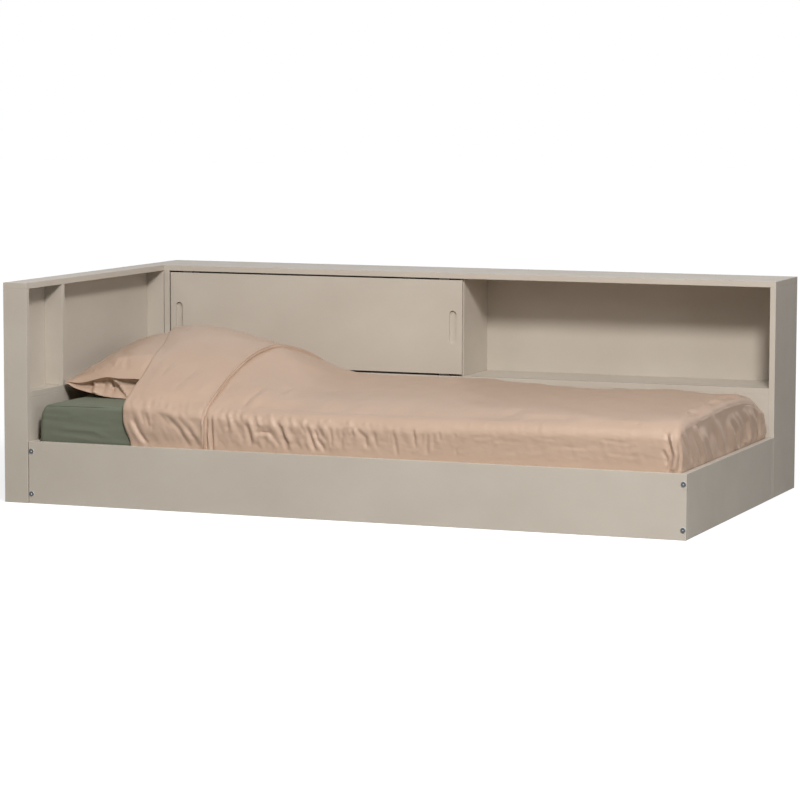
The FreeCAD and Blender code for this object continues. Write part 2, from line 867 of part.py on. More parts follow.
def build():
    screwed = {
        "slat_screws": (slat_screw_length, slat_screw_places()),
        "ledger_screws": (ledger_screw_length, ledger_screw_places()),
        "joining_screws": (joining_screw_length, joining_screw_places()),
    }
    bores = bolt_bores() + nut_bores() + dowel_bores() + cam_bores()
    for size, places in screwed.values():
        bores += [turned(wood_screw_hole(size), *place) for place in places]

    pieces = {}
    for group in (frame_boards(), ledgers(), slats(), head_unit(), back_unit()):
        for name, shape in group.items():
            pieces[name] = drilled(shape, bores)
    pieces.update(door_pieces())
    for name, (size, places) in screwed.items():
        screws = [turned(wood_screw(size), *place) for place in places]
        pieces[name] = Part.makeCompound(screws)
    bolts = [turned(frame_bolt(), *place) for place in bolt_places()]
    cam_bolts = [cam_bolt(face, inward, 0) for face, inward in cam_joints()]
    pieces["frame_bolts"] = Part.makeCompound(bolts)
    pieces["barrel_nuts"] = Part.makeCompound(barrel_nuts())
    pieces["dowels"] = Part.makeCompound(dowels())
    pieces["cam_locks"] = Part.makeCompound(cams())
    pieces["cam_bolts"] = Part.makeCompound(cam_bolts)
    pieces["mattress"] = grown_mattress(0)
    pieces["fitted_sheet"] = fitted_sheet()
    pieces["pillow"] = pillow()
    pieces["duvet"] = duvet()
    return pieces


os.makedirs("parts", exist_ok=True)
for name, shape in build().items():
    shape.translate(V(-length / 2, -depth / 2, 0))
    shape.exportStep(f"parts/{name}.step")
    print(f"{name}: {len(shape.Solids)} solid(s), {shape.Volume / 1e3:.1f} cm3, valid {shape.isValid()}")
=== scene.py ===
import json
import math

import bmesh
import bpy
import numpy as np
from mathutils import Matrix, Vector
from mathutils.kdtree import KDTree


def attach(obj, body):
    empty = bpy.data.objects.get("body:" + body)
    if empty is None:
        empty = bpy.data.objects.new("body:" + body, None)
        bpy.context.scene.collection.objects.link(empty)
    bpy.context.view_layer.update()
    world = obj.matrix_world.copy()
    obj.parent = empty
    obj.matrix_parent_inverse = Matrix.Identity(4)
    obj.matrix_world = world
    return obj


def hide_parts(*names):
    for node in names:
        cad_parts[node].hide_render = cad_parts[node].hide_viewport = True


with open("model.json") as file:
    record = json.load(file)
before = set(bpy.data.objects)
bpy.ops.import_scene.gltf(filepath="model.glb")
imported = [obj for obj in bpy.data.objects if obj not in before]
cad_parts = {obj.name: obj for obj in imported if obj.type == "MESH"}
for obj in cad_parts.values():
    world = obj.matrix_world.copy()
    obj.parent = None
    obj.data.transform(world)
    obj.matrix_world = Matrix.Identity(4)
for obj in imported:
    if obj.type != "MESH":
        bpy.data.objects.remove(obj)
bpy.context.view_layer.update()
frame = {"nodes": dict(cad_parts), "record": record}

nodes = frame["nodes"]

# The bed's own millimetres run from its left outer face, its front face and the floor
HALF_LENGTH, HALF_DEPTH = 1065.0, 612.5
MM_PER_METRE = 1000.0


def metres(points):
    """Points in the bed's own millimetres, as metres in the frame's axes."""
    return (np.asarray(points, float) - np.array([HALF_LENGTH, HALF_DEPTH, 0.0])) / MM_PER_METRE


def placed(name, data):
    """A new object in the scene."""
    obj = bpy.data.objects.new(name, data)
    bpy.context.scene.collection.objects.link(obj)
    return obj


def table(text):
    """Rows of numbers that are written as text."""
    return [[float(value) for value in row.split()] for row in text.strip().splitlines()]


# Materials

WHITE, BLACK = (1.0, 1.0, 1.0, 1.0), (0.0, 0.0, 0.0, 1.0)


def srgb(r, g, b):
    """A colour written as 0 to 255 values, as linear light."""
    parts = [c / 255.0 for c in (r, g, b)]
    parts = [c / 12.92 if c <= 0.04045 else ((c + 0.055) / 1.055) ** 2.4 for c in parts]
    return tuple(parts) + (1.0,)


class Nodes:
    """A short way to write a node tree."""

    def __init__(self, owner):
        owner.use_nodes = True
        self.tree = owner.node_tree

    def put(self, socket, value):
        """Links the socket to another one, or gives it a value of its own."""
        if isinstance(value, bpy.types.NodeSocket):
            self.tree.links.new(value, socket)
        else:
            socket.default_value = value

    def node(self, kind, inputs, **settings):
        made = self.tree.nodes.new(kind)
        for key, value in settings.items():
            setattr(made, key, value)
        for key, value in inputs.items():
            self.put(made.inputs[key], value)
        return made

    def combine(self, operation, first, second):
        return self.node("ShaderNodeMath", {0: first, 1: second}, operation=operation).outputs[0]

    def between(self, value, low, high, start=0.0, end=1.0):
        """A value from start to end, turned into one from low to high."""
        inputs = {"Value": value, "From Min": start, "From Max": end, "To Min": low, "To Max": high}
        return self.node("ShaderNodeMapRange", inputs).outputs["Result"]


class Surface(Nodes):
    """A material round the principled shader, laid out by the object's own coordinates in metres."""

    def __init__(self, name):
        self.material = bpy.data.materials.new(name)
        super().__init__(self.material)
        self.coordinates = self.node("ShaderNodeTexCoord", {}).outputs["Object"]

    def stretched(self, x, y, z):
        """The coordinates times a scale for each axis."""
        inputs = {"Vector": self.coordinates, "Scale": (x, y, z)}
        return self.node("ShaderNodeMapping", inputs).outputs[0]

    def noise(self, scale, detail, rough=0.55, distortion=0.0, vector=None):
        inputs = {"Vector": self.coordinates if vector is None else vector, "Scale": scale}
        inputs.update({"Detail": detail, "Roughness": rough, "Distortion": distortion})
        return self.node("ShaderNodeTexNoise", inputs).outputs["Fac"]

    def ramp(self, value, *stops):
        """The colour for a value, from stops that are each a place and a colour."""
        made = self.node("ShaderNodeValToRGB", {"Fac": value})
        elements = made.color_ramp.elements
        while len(elements) < len(stops):
            elements.new(0.5)
        for element, (place, colour) in zip(elements, stops):
            element.position = place
            element.color = colour
        return made.outputs["Color"]

    def mix(self, factor, first, second):
        inputs = {0: factor, 6: first, 7: second}
        return self.node("ShaderNodeMix", inputs, data_type="RGBA").outputs[2]

    def bump(self, height, strength, distance, normal=None):
        inputs = {"Height": height, "Strength": strength, "Distance": distance}
        if normal is not None:
            inputs["Normal"] = normal
        return self.node("ShaderNodeBump", inputs).outputs["Normal"]

    def finish(self, **values):
        """The material, once the shader's sockets have these values."""
        shader = self.tree.nodes["Principled BSDF"]
        for key, value in values.items():
            self.put(shader.inputs[key.replace("_", " ")], value)
        return self.material


def board_material():
    """Satin lacquer on smooth board: a faint cloudiness, a fine orange peel and a few rubbed spots."""
    m = Surface("lacquered_board")
    cloud = m.noise(3.2, 4.0, vector=m.stretched(1.0, 1.0, 1.4))
    colour = m.ramp(cloud, (0.32, srgb(188, 179, 167)), (0.68, srgb(195, 187, 175)))
    fleck = m.noise(210.0, 2.0)
    colour = m.mix(m.between(fleck, 0.0, 0.10), colour, srgb(168, 159, 147))
    rough = m.between(m.noise(14.0, 5.0), 0.36, 0.52)
    peel = m.noise(520.0, 2.0)
    slow = m.noise(9.0, 2.0)
    normal = m.bump(slow, 0.10, 0.004, m.bump(peel, 0.16, 0.0004))
    return m.finish(Base_Color=colour, Roughness=rough, Normal=normal, Specular_IOR_Level=0.42)


def wood_material(name, light, dark, along):
    """Planed wood: growth lines run along one axis, with a few darker streaks."""
    m = Surface(name)
    scale = [26.0, 26.0, 26.0]
    scale["xyz".index(along)] = 1.6
    stretched = m.stretched(*scale)
    lines = m.noise(2.6, 7.0, 0.6, 0.7, stretched)
    fibre = m.noise(17.0, 5.0, 0.7, vector=stretched)
    colour = m.ramp(lines, (0.30, dark), (0.47, light), (0.58, light), (0.74, dark))
    colour = m.mix(m.between(fibre, 0.0, 0.30), colour, dark)
    normal = m.bump(fibre, 0.35, 0.0006)
    rough = m.between(fibre, 0.55, 0.75)
    return m.finish(Base_Color=colour, Roughness=rough, Normal=normal, Specular_IOR_Level=0.3)


# Where the front bolts' faces lie, in metres: their sockets go deeper, and from 0.8 to 1.4 mm behind them
# they are painted bright, a painted highlight
BOLT_FACE_Y = -0.6119
SOCKET_SCALE, SOCKET_START, SOCKET_END = 500.0, 0.4, 0.7


def zinc_material():
    """Zinc with a spangle; its faces' dark bluish tone and its bright socket floors are painted reflections.
    """
    m = Surface("zinc_steel")
    spangle = m.noise(260.0, 3.0)
    # Painted reflection: the faces' colour is kept dark and bluish; the spangle's variation is the zinc's own
    colour = m.ramp(spangle, (0.3, srgb(112, 119, 126)), (0.7, srgb(140, 147, 152)))
    depth = m.node("ShaderNodeSeparateXYZ", {"Vector": m.coordinates}).outputs["Y"]
    depth = m.combine("SUBTRACT", depth, BOLT_FACE_Y)
    depth = m.combine("MULTIPLY", depth, SOCKET_SCALE)
    # Painted highlight: the socket floors turn near white, standing in for a reflection
    floor = m.ramp(depth, (SOCKET_START, BLACK), (SOCKET_END, WHITE))
    colour = m.mix(floor, colour, srgb(222, 224, 225))
    normal = m.bump(m.noise(1500.0, 2.0), 0.2, 0.0002)
    rough = m.between(spangle, 0.24, 0.40)
    return m.finish(Base_Color=colour, Roughness=rough, Metallic=1.0, Normal=normal)


def plastic_material(name, dark, light):
    """Moulded plastic with a fine grain."""
    m = Surface(name)
    cloud = m.noise(40.0, 4.0)
    colour = m.ramp(cloud, (0.3, dark), (0.7, light))
    normal = m.bump(m.noise(1400.0, 2.0), 0.25, 0.0002)
    return m.finish(Base_Color=colour, Roughness=m.between(cloud, 0.48, 0.60), Normal=normal)


# A wave texture turns through this angle for each unit of length times its scale
WAVE_RADIANS = 20.0


def weave(m, pitch):
    """Threads that cross: one set of waves along each axis, a thread's width apart."""
    inputs = {"Vector": m.coordinates, "Scale": 2 * math.pi / (WAVE_RADIANS * pitch)}
    x, y, z = (m.node("ShaderNodeTexWave", inputs, bands_direction=axis).outputs["Fac"] for axis in "XYZ")
    return m.combine("ADD", m.combine("ADD", x, y), z)


def cloth_material(name, light, dark, pitch, roughness, sheen, tint, crease):
    """Woven cotton: slightly uneven colour, crossing threads, soft sheen and fine creases."""
    m = Surface(name)
    cloud = m.noise(6.0, 5.0)
    colour = m.ramp(cloud, (0.30, dark), (0.70, light))
    slub = m.noise(2.0, 2.0, vector=m.stretched(30.0, 320.0, 320.0))
    crumple = m.noise(46.0, 6.0, 0.6, 0.4)
    return m.finish(
        Base_Color=m.mix(m.between(slub, 0.0, 0.16), colour, dark),
        Roughness=m.between(slub, roughness - 0.05, roughness + 0.05),
        Normal=m.bump(crumple, crease, 0.0030, m.bump(weave(m, pitch), 0.18, 0.0002)),
        Sheen_Weight=sheen,
        Sheen_Roughness=0.35,
        Sheen_Tint=tint,
        Specular_IOR_Level=0.35,
    )


MATERIALS = {
    "lacquered_board": board_material(),
    "pine": wood_material("pine", srgb(224, 196, 152), srgb(196, 158, 112), "y"),
    "beech": wood_material("beech", srgb(208, 172, 132), srgb(180, 140, 102), "z"),
    "zinc_steel": zinc_material(),
    "track_plastic": plastic_material("track_plastic", srgb(150, 141, 127), srgb(162, 153, 138)),
    "mattress_cover": cloth_material(
        "mattress_cover", srgb(232, 229, 221), srgb(222, 218, 209),
        pitch=0.0016, roughness=0.8, sheen=0.2, tint=WHITE, crease=0.25,
    ),
    "green_cotton": cloth_material(
        "green_cotton", srgb(109, 114, 98), srgb(103, 108, 92),
        pitch=0.0009, roughness=0.68, sheen=0.10, tint=srgb(190, 200, 180), crease=0.22,
    ),
    "peach_satin": cloth_material(
        "peach_satin", srgb(192, 166, 146), srgb(185, 159, 139),
        pitch=0.0008, roughness=0.42, sheen=0.10, tint=srgb(240, 220, 200), crease=0.10,
    ),
}
LEDGER_PINE = wood_material("pine_along_x", srgb(222, 194, 150), srgb(194, 156, 110), "x")
# Painted shade: the door's glides and guides are coloured dark so the gap under the door reads as shaded
GAP_SHADE_PLASTIC = plastic_material("gap_shade_plastic", srgb(52, 47, 42), srgb(64, 59, 53))
SLOT_OF = {row["node"]: row["material_slot"] for row in frame["record"]["subparts"]}

for name, obj in nodes.items():
    chosen = MATERIALS[SLOT_OF[name]]
    if name.endswith("ledger"):
        chosen = LEDGER_PINE
    # The glides and guides take the plastic that is painted dark as shade
    elif name.startswith(("door_glide", "door_guide")):
        chosen = GAP_SHADE_PLASTIC
    obj.data.materials.clear()
    obj.data.materials.append(chosen)


# Soft pieces: grids of points, rows by columns, in the bed's millimetres

# The rails' upper edge, and where along the bed the bedding starts to cover the sheet
RAIL_TOP = 187.0
COVERED_X = (400.0, 500.0)
# Points closer than this, in metres, become one, and smaller holes than this many edges are filled
WELD = 0.00003
HOLE_EDGES = 12
SHARP_ANGLE = math.radians(52.0)
SIM_FRAMES = 18
# A crease fades over this share of its line at each end, and ends this many of its widths away. Its
# depth falls off by this power, and its bank's place and spread are these many widths.
FADE_SHARE, CREASE_REACH = 0.22, 6.0
CREASE_POWER, BANK_PLACE, BANK_SPREAD = 1.15, 2.0, 1.4


def ease(values, start, end):
    """From 0 at start to 1 at end, level at both."""
    t = np.clip((values - start) / (end - start), 0.0, 1.0)
    return t * t * (3 - 2 * t)


def grid_quads(rows, columns, first):
    """The four-sided faces of a grid whose points are numbered row by row from first."""
    corners = [first + i * columns + j for i in range(rows - 1) for j in range(columns - 1)]
    return [(a, a + 1, a + 1 + columns, a + columns) for a in corners]


def picked(count, step, keep=()):
    """Every so many of a count, with the ones to keep and the last."""
    return np.array(sorted(set(range(0, count, step)) | {count - 1} | set(keep)))


def coarse_faces(rows, columns, first):
    """Faces over every fourth row and column of a grid, that keep all the points of its border."""
    faces = []
    across, along = picked(rows, 4), picked(columns, 4)
    for a, b in zip(across[:-1], across[1:]):
        for c, d in zip(along[:-1], along[1:]):
            ring = [(a, k) for k in (range(c, d) if a == 0 else [c])]
            ring += [(k, d) for k in (range(a, b) if d == columns - 1 else [a])]
            ring += [(b, k) for k in (range(d, c, -1) if b == rows - 1 else [d])]
            ring += [(k, c) for k in (range(b, a, -1) if c == 0 else [b])]
            faces.append(tuple(int(first + i * columns + j) for i, j in ring))
    return faces


def joined(grids, coarse=()):
    """The points and faces of several grids as one list each, with fewer faces for those in coarse."""
    points, faces = [], []
    for k, grid in enumerate(grids):
        faces_of = coarse_faces if k in coarse else grid_quads
        faces += faces_of(grid.shape[0], grid.shape[1], sum(len(p) for p in points))
        points.append(grid.reshape(-1, 3))
    return np.concatenate(points), faces


def grid_normals(points):
    """One unit normal for each point of a grid."""
    normals = np.cross(np.gradient(points, axis=0), np.gradient(points, axis=1))
    return normals / np.maximum(np.linalg.norm(normals, axis=2, keepdims=True), 1e-9)


def smooth_rows(values, spread):
    """Values smoothed along the rows of a grid by a bell of the given spread, the ends held."""
    reach = int(3 * spread) + 1
    steps = np.arange(-reach, reach + 1)
    bell = np.exp(-0.5 * (steps / spread) ** 2)
    bell /= bell.sum()
    before = 2 * values[:1] - values[1:reach + 1][::-1]
    after = 2 * values[-1:] - values[-reach - 1:-1][::-1]
    padded = np.concatenate([before, values, after])
    return sum(w * padded[k:k + len(values)] for k, w in enumerate(bell))


def curve_between(start, start_way, end, end_way, count):
    """Points of a cubic curve that leaves start along one way and reaches end along the other."""
    t = np.linspace(0.0, 1.0, count)[:, None]
    start, start_way, end, end_way = (np.asarray(v, float) for v in (start, start_way, end, end_way))
    h = (2 * t**3 - 3 * t**2 + 1, t**3 - 2 * t**2 + t, -2 * t**3 + 3 * t**2, t**3 - t**2)
    return h[0] * start + h[1] * start_way + h[2] * end + h[3] * end_way


def pressed(points, normals, creases):
    """How far each point moves along its normal for the creases of a table.

    A crease's row holds its width, its depth (below 0 for a ridge), the height of the bank beside it,
    the bank's side, and then the points of its line.
    """
    moved = np.zeros(points.shape[:-1])
    for width, depth, bank, side, *line in creases:
        line = np.reshape(line, (-1, 3))
        best = np.full(moved.shape, 1e9)
        signed = np.zeros(moved.shape)
        place = np.zeros(moved.shape)
        lengths = np.linalg.norm(np.diff(line, axis=0), axis=1)
        before = 0.0
        for a, b, length in zip(line[:-1], line[1:], lengths):
            way = (b - a) / length
            along = np.clip((points - a) @ way, 0.0, length)
            gap = points - (a + along[..., None] * way)
            far = np.linalg.norm(gap, axis=-1)
            closer = far < best
            turn = np.einsum("...k,...k->...", np.cross(way, normals), gap)
            best = np.where(closer, far, best)
            signed = np.where(closer, np.where(turn > 0, far, -far), signed)
            place = np.where(closer, before + along, place)
            before += length
        share = place / before
        taper = ease(np.minimum(share, 1.0 - share), 0.0, FADE_SHARE)
        taper = np.where(best > CREASE_REACH * width, 0.0, taper)
        valley = -depth * np.exp(-((best / width) ** CREASE_POWER))
        past_bank = (signed * side - BANK_PLACE * width) / (BANK_SPREAD * width)
        moved += taper * (valley + bank * np.exp(-(past_bank ** 2)))
    return moved


def waves(across, along, spread, lengths, count, seed, tilt=0.0):
    """A seeded sum of waves that run mostly one way, from about -1 to 1: across and along are lengths."""
    draw = np.random.default_rng(seed)
    total = np.zeros(np.shape(across))
    for _ in range(count):
        length = draw.uniform(*lengths)
        turn = draw.normal(tilt, spread)
        start = draw.uniform(0.0, 2 * math.pi)
        place = across * math.cos(turn) + along * math.sin(turn)
        total = total + np.sin(2 * math.pi * place / length + start)
    return total / math.sqrt(count)


def cloth_work(points, faces, held):
    """A closed cloth for puffed() to blow up, whose held points stay: its object."""
    mesh = bpy.data.meshes.new("cloth_work")
    mesh.from_pydata([tuple(p) for p in metres(points)], [], faces)
    work = bmesh.new()
    work.from_mesh(mesh)
    number = work.verts.layers.int.new("number")
    for vertex in work.verts:
        vertex[number] = vertex.index
    bmesh.ops.remove_doubles(work, verts=work.verts[:], dist=WELD)
    bmesh.ops.recalc_face_normals(work, faces=work.faces[:])
    kept = [vertex[number] for vertex in work.verts]
    work.to_mesh(mesh)
    work.free()
    obj = placed("cloth_work", mesh)
    pins = obj.vertex_groups.new(name="held")
    for k, number in enumerate(kept):
        pins.add([k], float(held[number]), "REPLACE")
    return obj


def puffed(grids, held, pressure, growth, cap):
    """How each point of the grids moves as the closed cloth they make is blown up, up to the cap."""
    points, faces = joined(grids)
    obj = cloth_work(points, faces, held)
    cloth = obj.modifiers.new("cloth", "CLOTH")
    settings = cloth.settings
    settings.quality = 5
    settings.mass = 0.25
    settings.tension_stiffness = settings.compression_stiffness = 12.0
    settings.shear_stiffness = 4.0
    settings.bending_stiffness = 0.35
    settings.use_pressure = True
    settings.uniform_pressure_force = pressure
    settings.shrink_min = -growth
    settings.vertex_group_mass = "held"
    settings.effector_weights.gravity = 0.0
    cloth.point_cache.frame_end = SIM_FRAMES
    scene = bpy.context.scene
    for moment in range(1, SIM_FRAMES + 1):
        scene.frame_set(moment)
    shaped = obj.evaluated_get(bpy.context.evaluated_depsgraph_get())
    after = np.array([tuple(v.co) for v in shaped.data.vertices])
    before = np.array([tuple(v.co) for v in obj.data.vertices])
    bpy.data.objects.remove(obj)
    scene.frame_set(1)
    moved = (after - before) * MM_PER_METRE
    far = np.linalg.norm(moved, axis=1, keepdims=True)
    moved *= np.minimum(1.0, cap / np.maximum(far, 1e-9))
    tree = KDTree(len(before))
    for k, place in enumerate(before):
        tree.insert(place, k)
    tree.balance()
    moved = moved[[tree.find(p)[1] for p in metres(points)]]
    ends = np.cumsum([grid.shape[0] * grid.shape[1] for grid in grids])[:-1]
    return [part.reshape(grid.shape) for part, grid in zip(np.split(moved, ends), grids)]


def wrinkles(moved):
    """The part of a grid's movement that changes within a few rows: its slow swell is left out."""
    slow = smooth_rows(moved, 3.0)
    slow = smooth_rows(slow.transpose(1, 0, 2), 3.0).transpose(1, 0, 2)
    return moved - slow


def spread_grid(coarse, rows, columns, shape):
    """Values known on some rows and columns of a grid, at all of its points."""
    by_row = np.array([[np.interp(np.arange(shape[1]), columns, line[:, c]) for c in range(3)]
                       for line in coarse])
    full = np.empty(shape)
    for c in range(3):
        for j in range(shape[1]):
            full[:, j, c] = np.interp(np.arange(shape[0]), rows, by_row[:, c, j])
    return full


def soft_piece(name, points, faces, slot, replaced):
    """The piece that the points and faces make, in its slot's material and on the bed's body."""
    mesh = bpy.data.meshes.new(name)
    mesh.from_pydata([tuple(p) for p in metres(points)], [], faces)
    tidy = bmesh.new()
    tidy.from_mesh(mesh)
    bmesh.ops.delete(tidy, geom=[v for v in tidy.verts if not v.link_faces], context="VERTS")
    bmesh.ops.remove_doubles(tidy, verts=tidy.verts[:], dist=WELD)
    bmesh.ops.holes_fill(tidy, edges=tidy.edges[:], sides=HOLE_EDGES)
    bmesh.ops.recalc_face_normals(tidy, faces=tidy.faces[:])
    tidy.to_mesh(mesh)
    tidy.free()
    mesh.shade_smooth()
    mesh.set_sharp_from_angle(angle=SHARP_ANGLE)
    piece = placed(name, mesh)
    mesh.materials.append(MATERIALS[slot])
    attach(piece, "bed")
    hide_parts(*replaced)
    return piece


# The duvet

DUVET_FRONT, DUVET_BACK, DUVET_BOTTOM = 22.0, 940.0, 142.0
# Its top's first and last y, its points across, and about how far apart they lie
TOP_FRONT, TOP_BACK, TOP_COUNT, TOP_STEP = 64.0, 898.0, 94, 9.0
# Each row goes up the front side, round to the top, over it and down again: these are the points of
# a side and of a curve, how far under the top a curve starts, and how hard it leaves both ends
SIDE_COUNT, CURVE_COUNT = 29, 19
FRONT_DROP, BACK_DROP, SIDE_PULL, TOP_PULL = 44.0, 46.0, 66.0, 56.0
# The rows lie about one step apart: over the turned-back part up to the hem, down from the bulge to
# where the duvet lies flat, and on to where it turns down at the foot
ROW_STEP, TURNED_LENGTH = 3.5, 300.0
HEM_ROW, FALL_ROWS, FLAT_ROWS = 86, 56, 353
FLAT_X, FOOT_SHOULDER_X = 850.0, 2084.0
# The top's heights are smoothed over this length, both ways
TOP_SMOOTHING = 22.0
# Its thickness over the bed and along its edges, and the height that its underside rests on
DUVET_THICK, EDGE_THICK, RESTING_Z = 9.0, 6.0, 302.5
TOP_Y = [64, 100, 150, 200, 300, 400, 500, 575, 650, 700, 760, 800, 852, 898]
# Lines across the bed: a place, from the fold at 0 and the hem at 1 to the foot at 8, and the
# heights of the top there, at TOP_Y
DUVET_LINES = np.array(table("""
0  334 358 383 403 439 461 478 487 484 478 466 455 436 407
0.15  331 356 382 404 443 470 490 498 493 484 470 456 434 404
0.29  328 352 380 403 443 474 494 500 493 482 464 449 425 394
0.6  322 345 372 394 432 460 478 480 470 458 440 423 399 368
1  318 335 357 378 412 438 452 445 430 418 399 385 365 337
1.5  312 328 344 359 383 402 409 404 393 384 371 363 352 331
2  306 317 327 336 350 362 367 365 361 358 352 349 345 324
3  304 315 323 330 338 345 349 350 349 348 347 347 347 325
4  304 314 323 330 337 343 346 347 347 347 347 347 347 325
5  308 316 323 328 334 340 343 343 342 341 340 339 337 316
6  311 317 323 327 332 337 340 340 337 334 330 327 324 305
7  315 320 326 329 334 339 342 342 340 338 336 334 328 308
8  317 322 327 330 334 338 341 341 339 337 332 325 308 286
"""))
# The x of the lines past the hem, and of the fold and the hem at some y
LINE_PLACES = DUVET_LINES[6:, 0]
LINE_X = [850.0, 960.0, 1300.0, 1430.0, 1585.0, 1840.0, 2084.0]
FOLD_Y = [22, 150, 300, 400, 575, 940]
FOLD_X = [394, 397, 372, 352, 292, 222]
HEM_Y = [22, 200, 380, 600, 800, 940]
HEM_X = [655, 650, 652, 676, 700, 705]
# The hem in section, in millimetres: the distance past it and the height over the main part. The
# turned-back part ends in a lip, and the cloth goes on from under it.
HEM_PAST = [
    -26, -20, -16, -14.2, -13.4, -12.6, -10, -6, -2.5, -0.6, 0.2, 0.0, -1.2, -3.2, -4.6, -4.2, -2.4,
    0.0, 2.0, 5.0, 10.0,
]
HEM_LIFT = [
    5.2, 5.2, 5.1, 4.8, 4.6, 4.9, 5.4, 5.4, 5.2, 4.6, 3.4, 2.2, 1.3, 0.4, -0.8, -2.0, -2.6, -2.4, -1.8,
    -0.8, 0.0,
]
# The foot: its corner's bend in points and its radius, the column in the middle of that bend, the x
# of its two faces and how far they lean, and from where to where its outer face may lie
FOOT_BEND, FOOT_RADIUS = 16, 12.0
FOOT_CORNER = SIDE_COUNT + FOOT_BEND // 2
FOOT_OUTER_X, FOOT_INNER_X, FOOT_LEAN = 2109.0, 2103.0, 9.0
FOOT_LEAST_X, FOOT_MOST_X = 2101.8, 2111.6
# The fold at the head: how far it bulges past the first row, and its points
FOLD_REACH, FOLD_COUNT = 9.0, 9
# Creases on the front side, round the foot, and last the ones on top
DUVET_CREASES = table("""
6 7 3.5 1  416 16 274  433 16 239  446 18 218  471 22 190
5 3 1.5 1  442 18 298  451 16 272  456 16 251
5 2.5 1.5 -1  459 16 285  468 16 264  474 16 243
7 2.5 0 1  481 16 283  483 17 229
8 5 5 -1  516 18 292  546 16 266  572 16 239  598 21 200  616 22 186
7 3.5 4 -1  555 18 289  572 16 271  598 16 244  625 19 212  637 22 186
7 2 2 -1  499 18 293  520 16 274  538 16 253
3.8 7 4 1  654 17 292  655 19 242  658 22 172
3.8 -5 0 1  664 18 288  665 20 242  668 22 172
3.8 8 3.5 -1  674 25 294  674 22 242  678 22 172
4 2 1 1  642 16 262  652 17 230  648 22 186
5 3.5 1.5 -1  710 34 296  725 22 275  730 22 245
6.5 7 5 -1  760 34 293  785 22 260  795 22 236  805 22 200
5 3.5 3 -1  805 38 294  815 25 278  825 22 252
5.5 4 2 1  805 22 241  830 22 246  860 22 245  880 22 222  900 22 199
6 6 4.5 -1  875 31 284  895 22 256  905 22 233  925 22 204
4.5 2 1 -1  895 31 284  910 22 261
5 3 1.5 -1  950 31 283  960 22 265  975 22 243
5 6 2.5 -1  965 31 283  985 22 249  995 22 221  1005 22 193
5 3 1.5 -1  1000 28 279  1020 22 254  1025 22 232
5 6 3 -1  1000 22 265  1010 22 232  1025 22 215  1035 22 193
4 3.5 1.5 -1  1050 24 270  1055 22 238  1055 22 209
4.5 3 1.5 -1  1085 22 265  1090 22 215
4 1.5 1 -1  1090 22 254  1105 22 215
3.5 4 1.5 -1  1115 25 274  1125 22 243
5 3.5 2 -1  1130 24 270  1161 22 243  1166 22 209
4.5 2 1.2 -1  1186 22 265  1191 22 232  1201 22 215
5 3.5 2 -1  1241 25 274  1251 22 243  1261 22 193
4 1.5 1 -1  1236 22 265  1241 22 226
4 4.5 2 -1  1306 28 279  1311 22 255  1316 22 221
5 2 1 -1  1336 22 266  1336 22 227
5 3 1.5 -1  1351 24 271  1351 22 199
7 2 1 -1  1371 22 267  1371 22 216
4 3 1.5 -1  1386 24 272  1391 22 246
4 2 1 -1  1436 22 269  1436 22 258
4 2.5 1 -1  1441 22 223  1441 22 206
3 1.2 0.8 1  1486 22 259  1561 22 261
3 1.2 0.8 1  1546 22 254  1636 22 250
3 1.2 0.8 1  1666 22 268  1741 22 263
3 1.4 0.8 1  1752 22 245  1842 22 240
3 1.4 0.8 1  1862 22 271  1967 22 260
3 1.4 0.8 1  1882 22 234  1992 22 223
5.5 9 6 -1  2060 30 306  2073 24 268  2080 24 236  2077 24 208  2062 24 170
6 -7 0 -1  2072 28 300  2087 24 253  2093 24 231  2088 24 176
4.5 6 2.5 -1  2052 22 252  2066 23 226  2066 23 204
4.5 5 2 -1  2094 30 272  2101 30 238  2099 28 176
7 5.5 5 -1  2102 40 300  2107 92 246  2108 116 212  2108 120 170
9 6 5.5 -1  2102 140 298  2107 210 236  2108 240 200  2108 232 170
11 -7 0 -1  2102 214 292  2107 310 227  2108 366 170
15 5.5 4 -1  2102 297 298  2107 396 250  2108 470 170
8 -7 0 -1  2104 505 284  2107 562 233  2108 604 170
9 5.5 5 -1  2104 540 284  2107 618 237  2108 648 170
7 -8 0 -1  2102 596 306  2107 674 257  2108 696 222  2108 716 170
9 6 5 -1  2102 650 298  2107 730 251  2108 741 214  2108 728 170
8 -7.5 0 -1  2102 745 294  2107 818 242  2108 834 210  2108 822 170
7 7 2 -1  2102 800 296  2106 862 252  2108 868 216  2108 852 172
11 -8 0 -1  2100 868 286  2105 918 240  2107 926 207  2107 900 172
12 5.5 3.5 1  749 55 308  754 104 328  764 144 340  763 205 357
8 2.5 1 1  749 60 310  770 34 293
11 4 2.5 1  824 185 339  824 215 344  824 265 353
9 2.6 1.4 1  451 142 383  452 182 401  456 223 418
12 2.4 1.4 1  516 81 342  532 152 380  545 223 409
""")


def duvet_rows():
    """The lines across the duvet: their places in DUVET_LINES, from the fold to the foot shoulder."""
    turned = np.linspace(0.0, 1.0, HEM_ROW + 1)
    falling = np.linspace(1.0, 2.0, FALL_ROWS + 1)[1:]
    xs = np.linspace(FLAT_X, FOOT_SHOULDER_X, FLAT_ROWS + 1)[1:]
    return np.concatenate([turned, falling, np.interp(xs, LINE_X, LINE_PLACES)])


def row_x(rows, ys):
    """The x of each point of the lines across, for its y."""
    fold = np.interp(ys, FOLD_Y, FOLD_X)
    hem = np.interp(ys, HEM_Y, HEM_X)
    rows = rows[:, None]
    flat = np.interp(rows, LINE_PLACES, LINE_X)
    turned = fold + (hem - fold) * rows
    falling = hem + (FLAT_X - hem) * (rows - 1.0)
    return np.where(rows <= 1.0, turned, np.where(rows <= 2.0, falling, flat))


